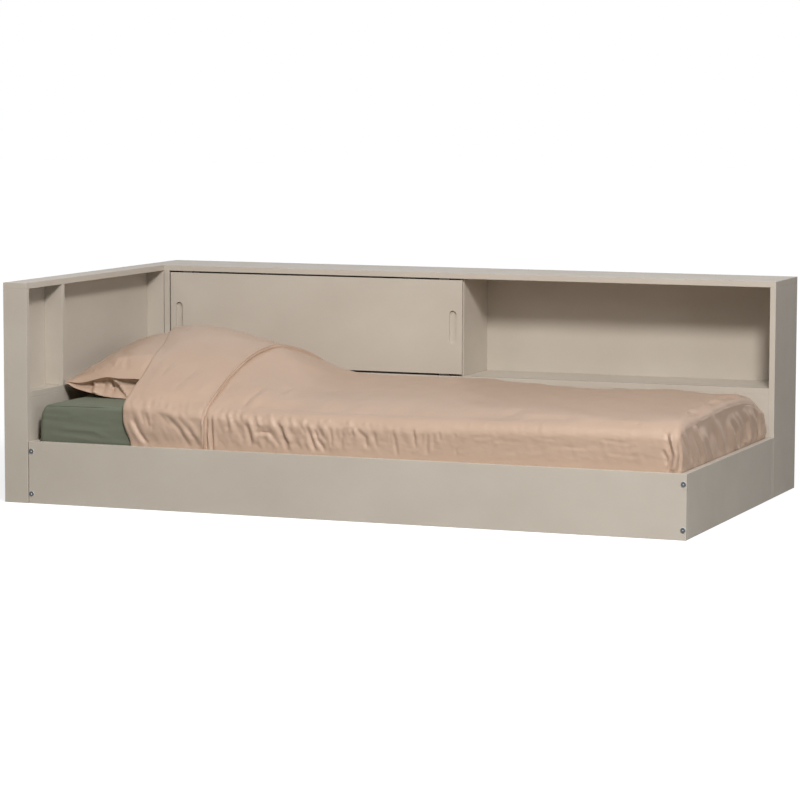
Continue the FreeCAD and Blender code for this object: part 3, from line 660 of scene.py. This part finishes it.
def duvet_section(top_y, z):
    """One row of the outer face from front hem to back hem, as y and z, for its heights on top."""
    low, high = z[0] - FRONT_DROP, z[-1] - BACK_DROP
    slope = (z[1] - z[0]) / (top_y[1] - top_y[0])
    ways = (0.0, SIDE_PULL), (TOP_PULL, TOP_PULL * slope)
    bend = curve_between((DUVET_FRONT, low), ways[0], (TOP_FRONT, z[0]), ways[1], CURVE_COUNT)[1:]
    slope = (z[-1] - z[-2]) / (top_y[-1] - top_y[-2])
    ways = (TOP_PULL, TOP_PULL * slope), (0.0, -SIDE_PULL)
    over = curve_between((TOP_BACK, z[-1]), ways[0], (DUVET_BACK, high), ways[1], CURVE_COUNT)
    up, down = np.linspace(DUVET_BOTTOM, low, SIDE_COUNT), np.linspace(high, DUVET_BOTTOM, SIDE_COUNT)
    front = np.column_stack([np.full(SIDE_COUNT, DUVET_FRONT), up])
    back = np.column_stack([np.full(SIDE_COUNT, DUVET_BACK), down])[1:]
    return np.vstack([front, bend, np.column_stack([top_y, z])[1:-1], over, back])


def duvet_outer():
    """The duvet's outer face: rows from the fold to the foot, columns from front hem to back hem."""
    rows = duvet_rows()
    top_y = np.linspace(TOP_FRONT, TOP_BACK, TOP_COUNT)
    by_row = np.array([np.interp(rows, DUVET_LINES[:, 0], heights) for heights in DUVET_LINES.T[1:]]).T
    top = np.array([np.interp(top_y, TOP_Y, heights) for heights in by_row])
    top = smooth_rows(top, TOP_SMOOTHING / ROW_STEP)
    top = smooth_rows(top.T, TOP_SMOOTHING / TOP_STEP).T
    profile = np.array([duvet_section(top_y, z) for z in top])
    ys, zs = profile[..., 0], profile[..., 1]
    xs = smooth_rows(row_x(rows, ys).T, 2.5).T
    near_fold = np.clip(1.0 - rows / 0.6, 0.0, 1.0)[:, None] ** 2
    lean = 1.0 - ease(zs, RAIL_TOP, 268.0)
    xs = xs + 24.0 * near_fold * lean * (ys < 100)
    bulge = ease(xs, 1780.0, 2050.0) * ease(zs, 190.0, 215.0) * (1.0 - ease(zs, 255.0, 300.0))
    ys = ys + 16.0 * bulge * (ys > 920)
    return np.dstack([xs, ys, zs])


def at_rows(grid, places):
    """The grid's rows at places between its own rows, counted from the first."""
    low = np.clip(np.floor(places).astype(int), 0, len(grid) - 2)
    share = (np.asarray(places) - low)[:, None, None]
    return grid[low] * (1 - share) + grid[low + 1] * share


def duvet_grids():
    """The duvet's outer and inner faces, and the place of each of their rows among the even ones."""
    base = duvet_outer()
    unit = TURNED_LENGTH / HEM_ROW
    before = [p for p in range(len(base)) if (p - HEM_ROW) * unit < HEM_PAST[0] - 1.0]
    after = [p for p in range(len(base)) if (p - HEM_ROW) * unit > HEM_PAST[-1] + 1.0]
    places = np.array(before + [HEM_ROW + past / unit for past in HEM_PAST] + after)
    lift = np.where(places <= HEM_ROW, HEM_LIFT[0], 0.0)
    lift[len(before):len(before) + len(HEM_LIFT)] = HEM_LIFT
    main = at_rows(base, places)
    normals = grid_normals(main)
    ys, zs = main[..., 1], main[..., 2]
    outer = main + normals * (lift[:, None] * ease(zs, 188.0, 240.0))[..., None]
    flat = ease(main[..., 0], 700.0, 830.0)
    thick = DUVET_THICK + flat * np.maximum(zs - RESTING_Z - DUVET_THICK, 0.0)
    middle = ease(ys, 24.0, 70.0) * ease(-ys, -938.0, -892.0)
    inner = main - normals * (EDGE_THICK + (thick - EDGE_THICK) * middle)[..., None]
    return outer, inner, places


def foot_end(arch, x_low, side_inset, top_inset):
    """Rows that round the last line across over to the foot, ending on a smaller, squarer arch."""
    bent = SIDE_COUNT + FOOT_BEND
    goal = arch.copy()
    for order in (slice(None), slice(None, None, -1)):
        line, aim = arch[order], goal[order]
        inward = 1.0 if line[0, 1] < line[-1, 1] else -1.0
        side_y = line[0, 1] + inward * (side_inset if inward > 0 else side_inset - 10.0)
        top_z = line[bent - 1, 2] - top_inset
        share = (line[:SIDE_COUNT, 2] - DUVET_BOTTOM) / (line[SIDE_COUNT - 1, 2] - DUVET_BOTTOM)
        aim[:SIDE_COUNT, 1] = side_y
        aim[:SIDE_COUNT, 2] = DUVET_BOTTOM + share * (top_z - FOOT_RADIUS - DUVET_BOTTOM)
        turn = np.linspace(0.0, math.pi / 2, FOOT_BEND + 1)[1:]
        aim[SIDE_COUNT:bent, 1] = side_y + inward * FOOT_RADIUS * (1 - np.cos(turn))
        aim[SIDE_COUNT:bent, 2] = top_z - FOOT_RADIUS + FOOT_RADIUS * np.sin(turn)
    goal[bent:-bent, 2] = arch[bent:-bent, 2] - top_inset
    foot_x = x_low - FOOT_LEAN * ease(goal[:, 2], 190.0, 330.0)
    rows = []
    for angle in np.radians(np.linspace(0.0, 90.0, 14)):
        row = arch + (goal - arch) * (1 - math.cos(angle))
        row[:, 0] = arch[:, 0] + (foot_x - arch[:, 0]) * math.sin(angle)
        rows.append(row)
    return np.array(rows)


def foot_patch(arch):
    """A grid that fills the arch."""
    front = arch[:FOOT_CORNER + 1]
    back = arch[::-1][:FOOT_CORNER + 1]
    top = arch[FOOT_CORNER:len(arch) - FOOT_CORNER]
    share = (top[:, 1] - top[0, 1]) / (top[-1, 1] - top[0, 1])
    low = front[0] * (1 - share[:, None]) + back[0] * share[:, None]
    rise = (front[:, 2] - front[0, 2]) / (front[-1, 2] - front[0, 2])
    u = share[None, :, None]
    v = rise[:, None, None]
    sides = front[:, None, :] * (1 - u) + back[:, None, :] * u
    ends = low[None] * (1 - v) + top[None] * v
    corners = (front[0] * (1 - u) + back[0] * u) * (1 - v) + (front[-1] * (1 - u) + back[-1] * u) * v
    return sides + ends - corners


def duvet_waves(outer):
    """Soft folds of the outer face: gathers on the front side that fade along it, slow swells on top."""
    xs, ys, zs = outer[..., 0], outer[..., 1], outer[..., 2]
    side = 1.0 - ease(ys, 26.0, 70.0)
    head = (1.0 - ease(xs, 950.0, 1350.0)) * (0.35 + 0.65 * ease(xs, 640.0, 760.0))
    edge = np.exp(-((ys - 38.0) / 16.0) ** 2)
    gathers = waves(xs, zs, 0.22, (26.0, 80.0), 9, 11, 0.42) * side * (0.25 + 0.95 * head)
    crumple = waves(xs, zs, 0.9, (14.0, 34.0), 12, 15, 0.5) * side * (0.16 + 0.30 * head)
    ridges = (0.5 - np.abs(waves(xs, zs, 0.25, (36.0, 100.0), 5, 16, 0.36))) * 1.7 * side * head
    fine = waves(zs, xs, 0.22, (8.0, 26.0), 11, 12) * side * (1.0 - head) * 0.24
    scallops = waves(xs, zs, 0.25, (20.0, 64.0), 9, 17, 0.3) * edge * (0.25 + 1.35 * head)
    gathers = gathers + crumple + ridges + scallops
    swell = waves(xs + ys * 0.5, ys, 0.6, (110.0, 330.0), 8, 13) * 1.3
    crinkle = waves(xs, ys, 1.2, (36.0, 110.0), 14, 14) * 0.55
    top = ease(ys, 40.0, 110.0) * (1.0 - ease(ys, 860.0, 920.0))
    return (gathers + fine) * ease(zs, RAIL_TOP, 215.0) + (swell + crinkle) * top


def foot_folds(points):
    """Upright folds that hang from the foot edge and spread towards the bottom."""
    ways = np.broadcast_to([1.0, 0.0, 0.0], points.shape)
    ys, zs = points[..., 1], points[..., 2]
    lean = (zs - 240.0) * 0.9
    deep = 0.55 + 0.9 * np.clip((300.0 - zs) / 110.0, 0.0, 1.0)
    wide = waves(ys + lean, zs, 0.13, (60.0, 150.0), 7, 21) * 1.2
    narrow = waves(ys + lean, zs, 0.16, (16.0, 40.0), 8, 22) * 0.35
    return (wide + narrow) * deep + pressed(points, ways, DUVET_CREASES)


def foot_limit(heights):
    """How far the foot's folds may reach: up to the foot board, and over it above its edge."""
    return FOOT_MOST_X + 5.0 * ease(heights, 192.0, 215.0)


def duvet_surfaces(outer, inner):
    """The closed duvet's outer and inner faces with the bend at the foot, its fold, and its foot's faces."""
    tangent = outer[0] - outer[1]
    tangent /= np.linalg.norm(tangent, axis=1, keepdims=True)
    middle, half = (outer[0] + inner[0]) / 2, (outer[0] - inner[0]) / 2
    angles = np.linspace(0.0, math.pi, FOLD_COUNT)
    fold = np.array([middle + half * math.cos(a) + tangent * FOLD_REACH * math.sin(a) for a in angles])
    outer_bend = foot_end(outer[-1], FOOT_OUTER_X, side_inset=19.0, top_inset=22.0)
    inner_bend = foot_end(inner[-1], FOOT_INNER_X, side_inset=17.0, top_inset=20.0)
    outer_all = np.concatenate([outer, outer_bend[1:]])
    inner_all = np.concatenate([inner, inner_bend[1:]])
    return outer_all, inner_all, fold, foot_patch(outer_bend[-1]), foot_patch(inner_bend[-1])


def hem_strips(outer, inner, foot, inner_foot):
    """The strips between the duvet's outer and inner faces along its front, back and foot hems."""
    return [np.stack([outer[:, k], inner[:, k]]) for k in (0, -1)] + [np.stack([foot[0], inner_foot[0]])]


def duvet_swelling(outer, inner, fold, foot, inner_foot, calm):
    """How the cloth of the duvet moves as it is blown up: one array for its outer face, one for its foot.

    It moves less near the fold, the foot edge and the rails, and by the share in calm for each row.
    """
    last = outer.shape[1] - 1 - FOOT_CORNER
    rows = picked(len(outer), 4)
    columns = picked(outer.shape[1], 4, (FOOT_CORNER, last))
    up = columns[columns <= FOOT_CORNER]
    over = columns[(columns >= FOOT_CORNER) & (columns <= last)] - FOOT_CORNER
    coarse = [outer[np.ix_(rows, columns)], inner[np.ix_(rows, columns)], fold[np.ix_([0, 4, 8], columns)],
              foot[np.ix_(up, over)], inner_foot[np.ix_(up, over)]]
    coarse += hem_strips(coarse[0], coarse[1], coarse[3], coarse[4])
    held = []
    for k, grid in enumerate(coarse):
        free = (grid[..., 2] > 205.0) & (k in (0, 3))
        if k == 0:
            free[:2] = False
        held.append(np.where(free, 0.0, 1.0).ravel())
    moved = puffed(coarse, np.concatenate(held), pressure=2.4, growth=0.030, cap=14.0)
    swell = spread_grid(wrinkles(moved[0]), rows, columns, outer.shape)
    foot_swell = spread_grid(wrinkles(moved[3]), up, over, foot.shape)
    row = np.arange(len(outer))[:, None]
    inside = ease(row, 2.0, 34.0) * (1.0 - ease(row, len(outer) - 22.0, len(outer) - 3.0)) * calm[:, None]
    inside = inside * ease(outer[..., 2], 205.0, 255.0) * (0.25 + 0.75 * ease(outer[..., 1], 30.0, 90.0))
    i, j = np.indices(foot.shape[:2])
    border = np.minimum(len(foot) - 1 - i, np.minimum(j, foot.shape[1] - 1 - j))[..., None]
    return swell * inside[..., None], foot_swell * 0.3 * ease(border, 0.0, 8.0)


def add_duvet():
    outer, inner, places = duvet_grids()
    main_rows = len(outer)
    outer, inner, fold, foot, inner_foot = duvet_surfaces(outer, inner)
    normals = grid_normals(outer)
    normals[-1] = (1.0, 0.0, 0.0)
    creases = pressed(outer, normals, DUVET_CREASES)
    end_folds, foot_creases = foot_folds(outer), foot_folds(foot)
    from_hem = np.full(len(outer), 100.0)
    from_hem[:main_rows] = (places - HEM_ROW) * ROW_STEP
    calm = ease(np.abs(from_hem), 16.0, 60.0)
    swell, foot_swell = duvet_swelling(outer, inner, fold, foot, inner_foot, calm)
    outer, foot = outer + swell, foot + foot_swell
    turning = np.zeros((len(outer), 1))
    turning[main_rows - 1:, 0] = np.sin(np.linspace(0.0, math.pi / 2, len(outer) - main_rows + 1))
    moved = (creases + duvet_waves(outer)) * (1 - turning)
    # Nothing moves out towards the rails and the foot board, at and below their upper edges
    moved = np.where(moved > 0, moved * ease(outer[..., 2], RAIL_TOP, 196.0), moved)
    moved += end_folds * turning * ease(outer[..., 2], RAIL_TOP, 200.0)
    outer = clear_of_sheet(outer + normals * moved[..., None])
    folds = foot_creases * ease(foot[..., 2], RAIL_TOP, 200.0)
    foot = clear_of_sheet(foot + folds[..., None] * np.array([1.0, 0.0, 0.0]))
    foot[..., 0] = np.clip(foot[..., 0], FOOT_LEAST_X, foot_limit(foot[..., 2]))
    outer[..., 0] = np.minimum(outer[..., 0], foot_limit(outer[..., 2]))
    outer[-1, :, 0] = np.maximum(outer[-1, :, 0], FOOT_LEAST_X)
    turn = np.cos(np.linspace(0.0, math.pi / 2, FOLD_COUNT))[:, None, None]
    fold = fold + (outer[0] - fold[0])[None] * turn
    grids = [outer, fold, foot, inner, inner_foot] + hem_strips(outer, inner, foot, inner_foot)
    points, faces = joined(grids, coarse=(3, 4))
    duvet = soft_piece("duvet_quilt", points, faces, "peach_satin", ["duvet"])


# The pillow

# For each y: the x of eleven points from the head seam to the foot seam, and then their heights
PILLOW_TOP = np.array(table("""
225  91 116 140 168 196 235 268 330 480 610 690  348 346 345 350 359 369 363 366 360 342 320
245  89 120 155 189 229 263 343 450 560 640 690  351 362 372 382 392 394 398 394 376 350 322
300  91 115 150 189 229 263 343 450 560 640 690  356 373 391 408 421 428 431 431 414 374 328
400  93 115 150 189 229 263 343 450 560 640 690  374 392 412 431 445 453 452 456 438 394 334
575  97 115 150 189 229 263 343 450 560 640 690  404 423 442 460 472 478 479 478 456 408 338
700  97 115 150 189 229 263 343 450 560 640 690  405 424 442 456 464 466 469 464 438 394 334
800  98 115 150 189 229 263 343 450 560 640 690  386 402 420 432 438 438 442 436 408 370 330
850  99 115 150 189 229 263 343 450 560 640 690  362 374 388 399 404 406 408 403 380 350 325
875  100 115 150 189 229 263 343 450 560 640 690  347 350 352 353 354 354 354 350 342 332 321
"""))
PILLOW_UNDER = np.array(table("""
225  91 100 121 150 175 214 256 400 560 650 690  347 341 329 322 317 308 303 303 303 307 319
300  91 100 120 142 189 223 300 450 600 660 690  354 342 325 313 304 303 303 303 303 307 326
575  97 103 112 130 170 223 300 450 600 660 690  402 380 350 320 304 303 303 303 303 307 336
800  98 104 114 132 172 223 300 450 600 660 690  384 362 340 316 304 303 303 303 303 307 328
875  100 115 150 189 229 263 343 450 560 640 690  346 346 345 344 343 342 341 338 332 326 320
"""))
LINE_POINTS, PILLOW_COLUMNS, MOUTH_ROWS = 11, 111, 21
# The cloth is free between these y, and on the underside only above this height
FREE_Y, FREE_Z = (240.0, 872.0), 312.0
PILLOW_CREASES = table("""
14 4.5 3 1  205 380 440  240 325 432  275 300 430
12 3.5 3 -1  120 240 365  170 290 405  220 360 440
""")
# The mouth's creases are drawn on a flat sheet at this y
MOUTH_Y = 240.0
MOUTH_CREASES = table("""
5 9 0 1  164 240 356  171 240 336  177 240 312
7 -8 0 1  179 240 356  187 240 334  193 240 308
9 6 0 1  206 240 364  214 240 340  218 240 308
5 12 0 1  235 240 376  241 240 348  247 240 306
8 -13 0 1  238 240 380  261 240 349  279 240 331  312 240 304
8 11 0 1  250 240 350  266 240 326  304 240 302
9 8 0 1  288 240 358  330 240 345  380 240 340
""")


def lines_at(lines, ys, spread):
    """Lines read from a table of lines for the given ys, made smooth."""
    at, knots = np.linspace(0.0, LINE_POINTS - 1.0, PILLOW_COLUMNS), np.arange(LINE_POINTS)
    found = []
    for values in (lines[:, 1:1 + LINE_POINTS], lines[:, 1 + LINE_POINTS:]):
        values = np.array([np.interp(ys, lines[:, 0], column) for column in values.T]).T
        values = np.array([np.interp(at, knots, row) for row in values])
        found.append(smooth_rows(values.T, spread).T)
    return np.dstack([found[0], np.broadcast_to(ys[:, None], found[0].shape), found[1]])


def build_pillow():
    """The closed pillow's grids: top, underside, mouth, far side, head seam and foot seam."""
    ys = np.concatenate([np.linspace(225, 261, 10), np.linspace(269, 845, 73), np.linspace(850, 875, 6)])
    top = lines_at(PILLOW_TOP, ys, 4.0)
    under = lines_at(PILLOW_UNDER, ys, 4.1)
    top[3:-2] = smooth_rows(top[3:-2], 3.0)
    ups = grid_normals(top)
    if ups[40, 50, 2] < 0:
        ups = -ups
    top = top + ups * pressed(top, ups, PILLOW_CREASES)[..., None]
    across = np.linspace(0.0, 1.0, MOUTH_ROWS)[:, None]
    mouth = top[0] * (1 - across[..., None]) + under[0] * across[..., None]
    depth = np.sin(np.pi * np.minimum(across * 1.15, 1.0)) * 17.0 + 8.0 * (1 - across)
    depth = depth * np.minimum(across * 12.0, 1.0) * np.minimum((1 - across) * 8.0, 1.0)
    tall = np.clip((mouth[0, :, 2] - mouth[-1, :, 2]) / 30.0, 0.0, 1.0)
    mouth[..., 1] += depth * tall
    ways = np.zeros_like(mouth)
    ways[..., 1] = -1.0
    drawn = mouth.copy()
    drawn[..., 1] = MOUTH_Y
    free = np.minimum(across * 5.0, 1.0) * np.minimum((1 - across) * 8.0, 1.0) * tall
    mouth[..., 1] -= pressed(drawn, ways, MOUTH_CREASES) * free
    far = np.stack([top[-1], (top[-1] + under[-1]) / 2 + np.array([0.0, 2.0, 0.0]), under[-1]])
    return [top, under, mouth, far] + [np.stack([top[:, k], under[:, k]]) for k in (0, -1)]


def add_pillow():
    grids = build_pillow()
    held = [np.ones(grid.shape[:2]) for grid in grids]
    ys = grids[0][..., 1]
    held[0][(ys > FREE_Y[0]) & (ys < FREE_Y[1])] = 0.0
    held[1][(grids[1][..., 2] > FREE_Z) & (grids[1][..., 1] > FREE_Y[0])] = 0.0
    held = np.concatenate([values.ravel() for values in held])
    moved = puffed(grids, held, pressure=3.5, growth=0.025, cap=10.0)
    rows, columns = ys.shape
    i, j = np.indices(ys.shape)
    border = np.minimum(np.minimum(i, rows - 1 - i), np.minimum(j, columns - 1 - j))[..., None]
    grids[0] = grids[0] + wrinkles(moved[0]) * ease(border, 0.0, 6.0)
    points, faces = joined(grids)
    pillow = soft_piece("pillow_stuffed", points, faces, "peach_satin", ["pillow"])


# The mattress and the fitted sheet: boxes whose edges are rounded, less so at the head

MATTRESS_LOW, MATTRESS_HIGH = (105, 33, 101), (2096, 929, 298)
SHEET_LOW, SHEET_HIGH = (101.6, 29.6, 98.6), (2099.5, 932.4, 301.3)
SHEET_HEAD_RADIUS, SHEET_RADIUS = 16.0, 38.0
# What lies on the sheet stays this clear of it, with this radius at the head
SHEET_CLEARANCE, CLEAR_HEAD_RADIUS = 2.0, 12.0
# Along x, y and z, where the sheet's points lie close together, and how close
SHEET_FINE = [(101, 430, 6.0), (29, 260, 9.0), (98, 302, 5.0)]
# The sheet's hem lies under the mattress, this far in from its sides, and the rest there is open.
# The underside is this one of the box's six grids.
HEM_WIDTH = 92.0
UNDERSIDE = 4
SHEET_CREASES = table("""
5 -2.2 0 1  157 30 220  183 30 225  240 30 224  285 30 223  310 30 213  361 30 199
4 -1.4 0 1  200 30 268  245 30 269
5 -1.2 0 1  260 30 250  350 30 246
5 -1.4 0 1  130 30 206  220 30 203  300 30 195
""")
# The seam round the sheet's top: its least and most x and y, its bends at the corners, its own
# radius and its height
SEAM_LOW, SEAM_HIGH = (105.4, 33.4), (2095.7, 928.6)
SEAM_HEAD_BEND, SEAM_FOOT_BEND = 22.0, 38.0
SEAM_RADIUS, SEAM_Z = 2.2, 296.4


def from_core(points, low, high, head_radius, radius):
    """Each point's nearest one in a rounded box's core, the unit way and distance out, and the radius.

    The radius is smaller at the head, where nothing lies on the box.
    """
    bend = head_radius + (radius - head_radius) * ease(points[..., 0], *COVERED_X)[..., None]
    core = np.minimum(np.maximum(points, np.add(low, bend)), np.subtract(high, bend))
    out = points - core
    far = np.linalg.norm(out, axis=-1, keepdims=True)
    return core, out / np.maximum(far, 1e-9), far, bend


def clear_of_sheet(points):
    """Points moved out to where they stay clear of the sheet under the duvet."""
    core, way, far, bend = from_core(points, SHEET_LOW, SHEET_HIGH, CLEAR_HEAD_RADIUS, SHEET_RADIUS)
    wanted = bend + SHEET_CLEARANCE
    return np.where((far < wanted) & (far > 1e-6), core + way * wanted, points)


def rounded_box(low, high, head_radius, radius, spacing, fine=()):
    """The grids of a box's six faces, with rounded edges."""
    places = []
    for k in range(3):
        edge = radius * np.linspace(0.0, 1.0, 11)[:-1]
        inner = np.linspace(low[k] + radius, high[k] - radius, max(2, int((high[k] - low[k]) / spacing)))
        if fine:
            start, end, gap = fine[k]
            inner = np.union1d(inner, np.arange(max(start, low[k] + radius), min(end, high[k] - radius), gap))
        places.append(np.concatenate([low[k] + edge, inner, high[k] - edge[::-1]]))
    grids = []
    for k in range(3):
        i, j = [n for n in range(3) if n != k]
        for end in (low[k], high[k]):
            grid = np.empty((len(places[i]), len(places[j]), 3))
            grid[..., i] = places[i][:, None]
            grid[..., j] = places[j][None, :]
            grid[..., k] = end
            core, way, _, bend = from_core(grid, low, high, head_radius, radius)
            grids.append(core + way * bend)
    return grids


def softened(points):
    """The mattress's head end drawn in and down a little towards its upper edge."""
    xs, zs = points[:, 0], points[:, 2]
    lean = 4.0 * np.clip((zs - 200.0) / 90.0, 0.0, 1.0) + 9.0 * ease(zs, 262.0, 302.0)
    drop = 8.0 * np.clip(1.0 - (xs - 100.0) / 60.0, 0.0, 1.0) ** 2 * ease(zs, 250.0, 300.0)
    return np.column_stack([xs + lean * (1.0 - ease(xs, 102.0, 190.0)), points[:, 1], zs - drop])


def add_mattress():
    points, faces = joined(rounded_box(MATTRESS_LOW, MATTRESS_HIGH, 14.0, 40.0, 40.0))
    mattress = soft_piece("mattress_pad", softened(points), faces, "mattress_cover", ["mattress"])


def seam_tube():
    """The sewn ridge round the sheet's top edge: a closed tube."""
    line = []
    for far_x, far_y, start in ((0, 0, 180), (1, 0, 270), (1, 1, 0), (0, 1, 90)):
        bend = SEAM_FOOT_BEND if far_x else SEAM_HEAD_BEND
        cx = SEAM_HIGH[0] - bend if far_x else SEAM_LOW[0] + bend
        cy = SEAM_HIGH[1] - bend if far_y else SEAM_LOW[1] + bend
        for turn in np.radians(np.linspace(start, start + 90, 8)):
            line.append((cx + bend * math.cos(turn), cy + bend * math.sin(turn)))
    line = np.array(line)
    shares = np.linspace(0.0, 1.0, 13)[:-1, None]
    line = np.concatenate([a + (b - a) * shares for a, b in zip(line, np.roll(line, -1, axis=0))])
    ways = np.roll(line, -1, axis=0) - np.roll(line, 1, axis=0)
    ways /= np.linalg.norm(ways, axis=1, keepdims=True)
    out = np.column_stack([ways[:, 1], -ways[:, 0], np.zeros(len(ways))])
    covered = ease(line[:, 0], *COVERED_X)
    middle = np.column_stack([line - out[:, :2] * (covered * 9.0)[:, None], SEAM_Z - covered * 7.0])
    rings = [middle + SEAM_RADIUS * (math.cos(a) * out + math.sin(a) * np.array([0.0, 0.0, 1.0]))
             for a in np.linspace(0.0, 2 * math.pi, 9)]
    points, faces = joined([np.array([np.concatenate([ring, ring[:1]]) for ring in rings])])
    return softened(points), faces


def add_sheet():
    grids = rounded_box(SHEET_LOW, SHEET_HIGH, SHEET_HEAD_RADIUS, SHEET_RADIUS, 45.0, SHEET_FINE)
    under = grids.pop(UNDERSIDE)
    points, faces = joined(grids)
    hem_points, hem_faces = joined([under])
    (x_low, y_low, _), (x_high, y_high, _) = SHEET_LOW, SHEET_HIGH
    kept = []
    for face in hem_faces:
        x, y, _ = hem_points[list(face)].mean(axis=0)
        if not (x_low + HEM_WIDTH < x < x_high - HEM_WIDTH and y_low + HEM_WIDTH < y < y_high - HEM_WIDTH):
            kept.append(tuple(k + len(points) for k in face))
    points = np.concatenate([points, hem_points])
    ways = np.zeros_like(points)
    ways[:, 1] = -1.0
    front = (points[:, 1] < 45.0) * (1.0 - ease(points[:, 0], 400.0, 440.0))
    rise = pressed(points, ways, SHEET_CREASES)
    rise = rise + waves(points[:, 2], points[:, 0], 0.06, (16.0, 44.0), 6, 31) * 0.4
    points = points + ways * (np.clip(rise, -0.9, 3.0) * front)[:, None]
    sheet = soft_piece("sheet_fitted", softened(points), faces + kept, "green_cotton", ["fitted_sheet"])
    seam = soft_piece("sheet_seam", *seam_tube(), "green_cotton", [])


add_duvet()
add_pillow()
add_mattress()
add_sheet()


# The camera that took the photograph, as its board edges give it: its place, its azimuth, elevation
# and roll in degrees, and its focal length in pixels of the picture

CAMERA_PLACE = (3.5133, -9.1720, 1.3166)
AZIMUTH, ELEVATION, ROLL = 21.092, 5.952, 0.159
FOCAL_PIXELS, PICTURE_PIXELS, SENSOR_WIDTH = 3219.2, 800.0, 36.0


def add_camera():
    data = bpy.data.cameras.new("photo_camera")
    data.sensor_width = SENSOR_WIDTH
    data.lens = FOCAL_PIXELS / PICTURE_PIXELS * SENSOR_WIDTH
    data.clip_end = 200.0
    turn = Matrix.Rotation(math.radians(AZIMUTH), 4, "Z")
    turn = turn @ Matrix.Rotation(math.radians(90.0 - ELEVATION), 4, "X")
    turn = turn @ Matrix.Rotation(math.radians(ROLL), 4, "Z")
    camera = placed("photo_camera", data)
    camera.matrix_world = Matrix.Translation(CAMERA_PLACE) @ turn
    bpy.context.scene.camera = camera


# The room: a key light high at the front right, weak fills from the front left, above and the right,
# and a dim white world

AMBIENT = 0.03
# Each light's name, place, target, size, watts and colour
LIGHTS = [
    ("key", (3.3, -5.5, 4.6), (0.0, 0.0, 0.3), 1.3, 474.0, (1.0, 0.98, 0.955)),
    ("fill", (-1.8, -3.0, 2.2), (-0.4, 0.0, 0.3), 1.2, 13.0, (1.0, 0.96, 0.91)),
    ("top", (0.5, -1.6, 3.4), (0.1, 0.3, 0.4), 1.2, 27.0, (0.95, 0.97, 1.0)),
    ("side", (5.9, -2.9, 1.8), (0.0, 0.0, 0.3), 1.4, 39.0, (0.95, 0.96, 1.0)),
]
FLOOR_HALF, FLOOR_Z, FLOOR_GREY = 30.0, -0.0005, 0.38
# The floor's glow for the camera: its strength near the bed and far from it, and these distances
GLOW_NEAR, GLOW_FAR, NEAR, FAR = 0.82, 1.0, 1.5, 5.0


def add_area(name, place, target, size, power, colour):
    data = bpy.data.lights.new(name, "AREA")
    data.shape = "DISK"
    data.size = size
    data.energy = power
    data.color = colour
    lamp = placed(name, data)
    lamp.location = place
    lamp.rotation_euler = (Vector(target) - Vector(place)).to_track_quat("-Z", "Y").to_euler()


def add_world():
    """White where the camera, a reflection or glass shows it, and dim as light on the object."""
    world = bpy.data.worlds.new("studio")
    bpy.context.scene.world = world
    n = Nodes(world)
    path = n.node("ShaderNodeLightPath", {})
    seen = path.outputs["Is Camera Ray"]
    for other in ("Is Glossy Ray", "Is Transmission Ray"):
        seen = n.combine("MAXIMUM", seen, path.outputs[other])
    background = n.tree.nodes["Background"]
    n.put(background.inputs["Strength"], n.between(seen, AMBIENT, 1.0))
    n.put(background.inputs["Color"], WHITE)


def add_floor():
    """A white floor: lit like paper, and lifted to white where the camera sees it unshaded."""
    mesh = bpy.data.meshes.new("studio_floor")
    corners = [(x * FLOOR_HALF, y * FLOOR_HALF, 0) for x, y in ((-1, -1), (1, -1), (1, 1), (-1, 1))]
    mesh.from_pydata(corners, [], [(0, 1, 2, 3)])
    floor = placed("studio_floor", mesh)
    floor.location.z = FLOOR_Z
    material = bpy.data.materials.new("studio_paper")
    n = Nodes(material)
    n.tree.nodes.remove(n.tree.nodes["Principled BSDF"])
    paper = n.node("ShaderNodeBsdfDiffuse", {"Color": (FLOOR_GREY, FLOOR_GREY, FLOOR_GREY, 1.0)})
    where = n.node("ShaderNodeTexCoord", {}).outputs["Object"]
    far = n.node("ShaderNodeVectorMath", {0: where}, operation="LENGTH").outputs["Value"]
    seen = n.node("ShaderNodeLightPath", {}).outputs["Is Camera Ray"]
    lift = n.combine("MULTIPLY", seen, n.between(far, GLOW_NEAR, GLOW_FAR, NEAR, FAR))
    glow = n.node("ShaderNodeEmission", {"Strength": lift})
    both = n.node("ShaderNodeAddShader", {0: paper.outputs[0], 1: glow.outputs[0]})
    n.put(n.tree.nodes["Material Output"].inputs["Surface"], both.outputs[0])
    mesh.materials.append(material)


add_camera()
add_world()
add_floor()
for light in LIGHTS:
    add_area(*light)

bpy.context.scene.view_settings.view_transform = "Standard"
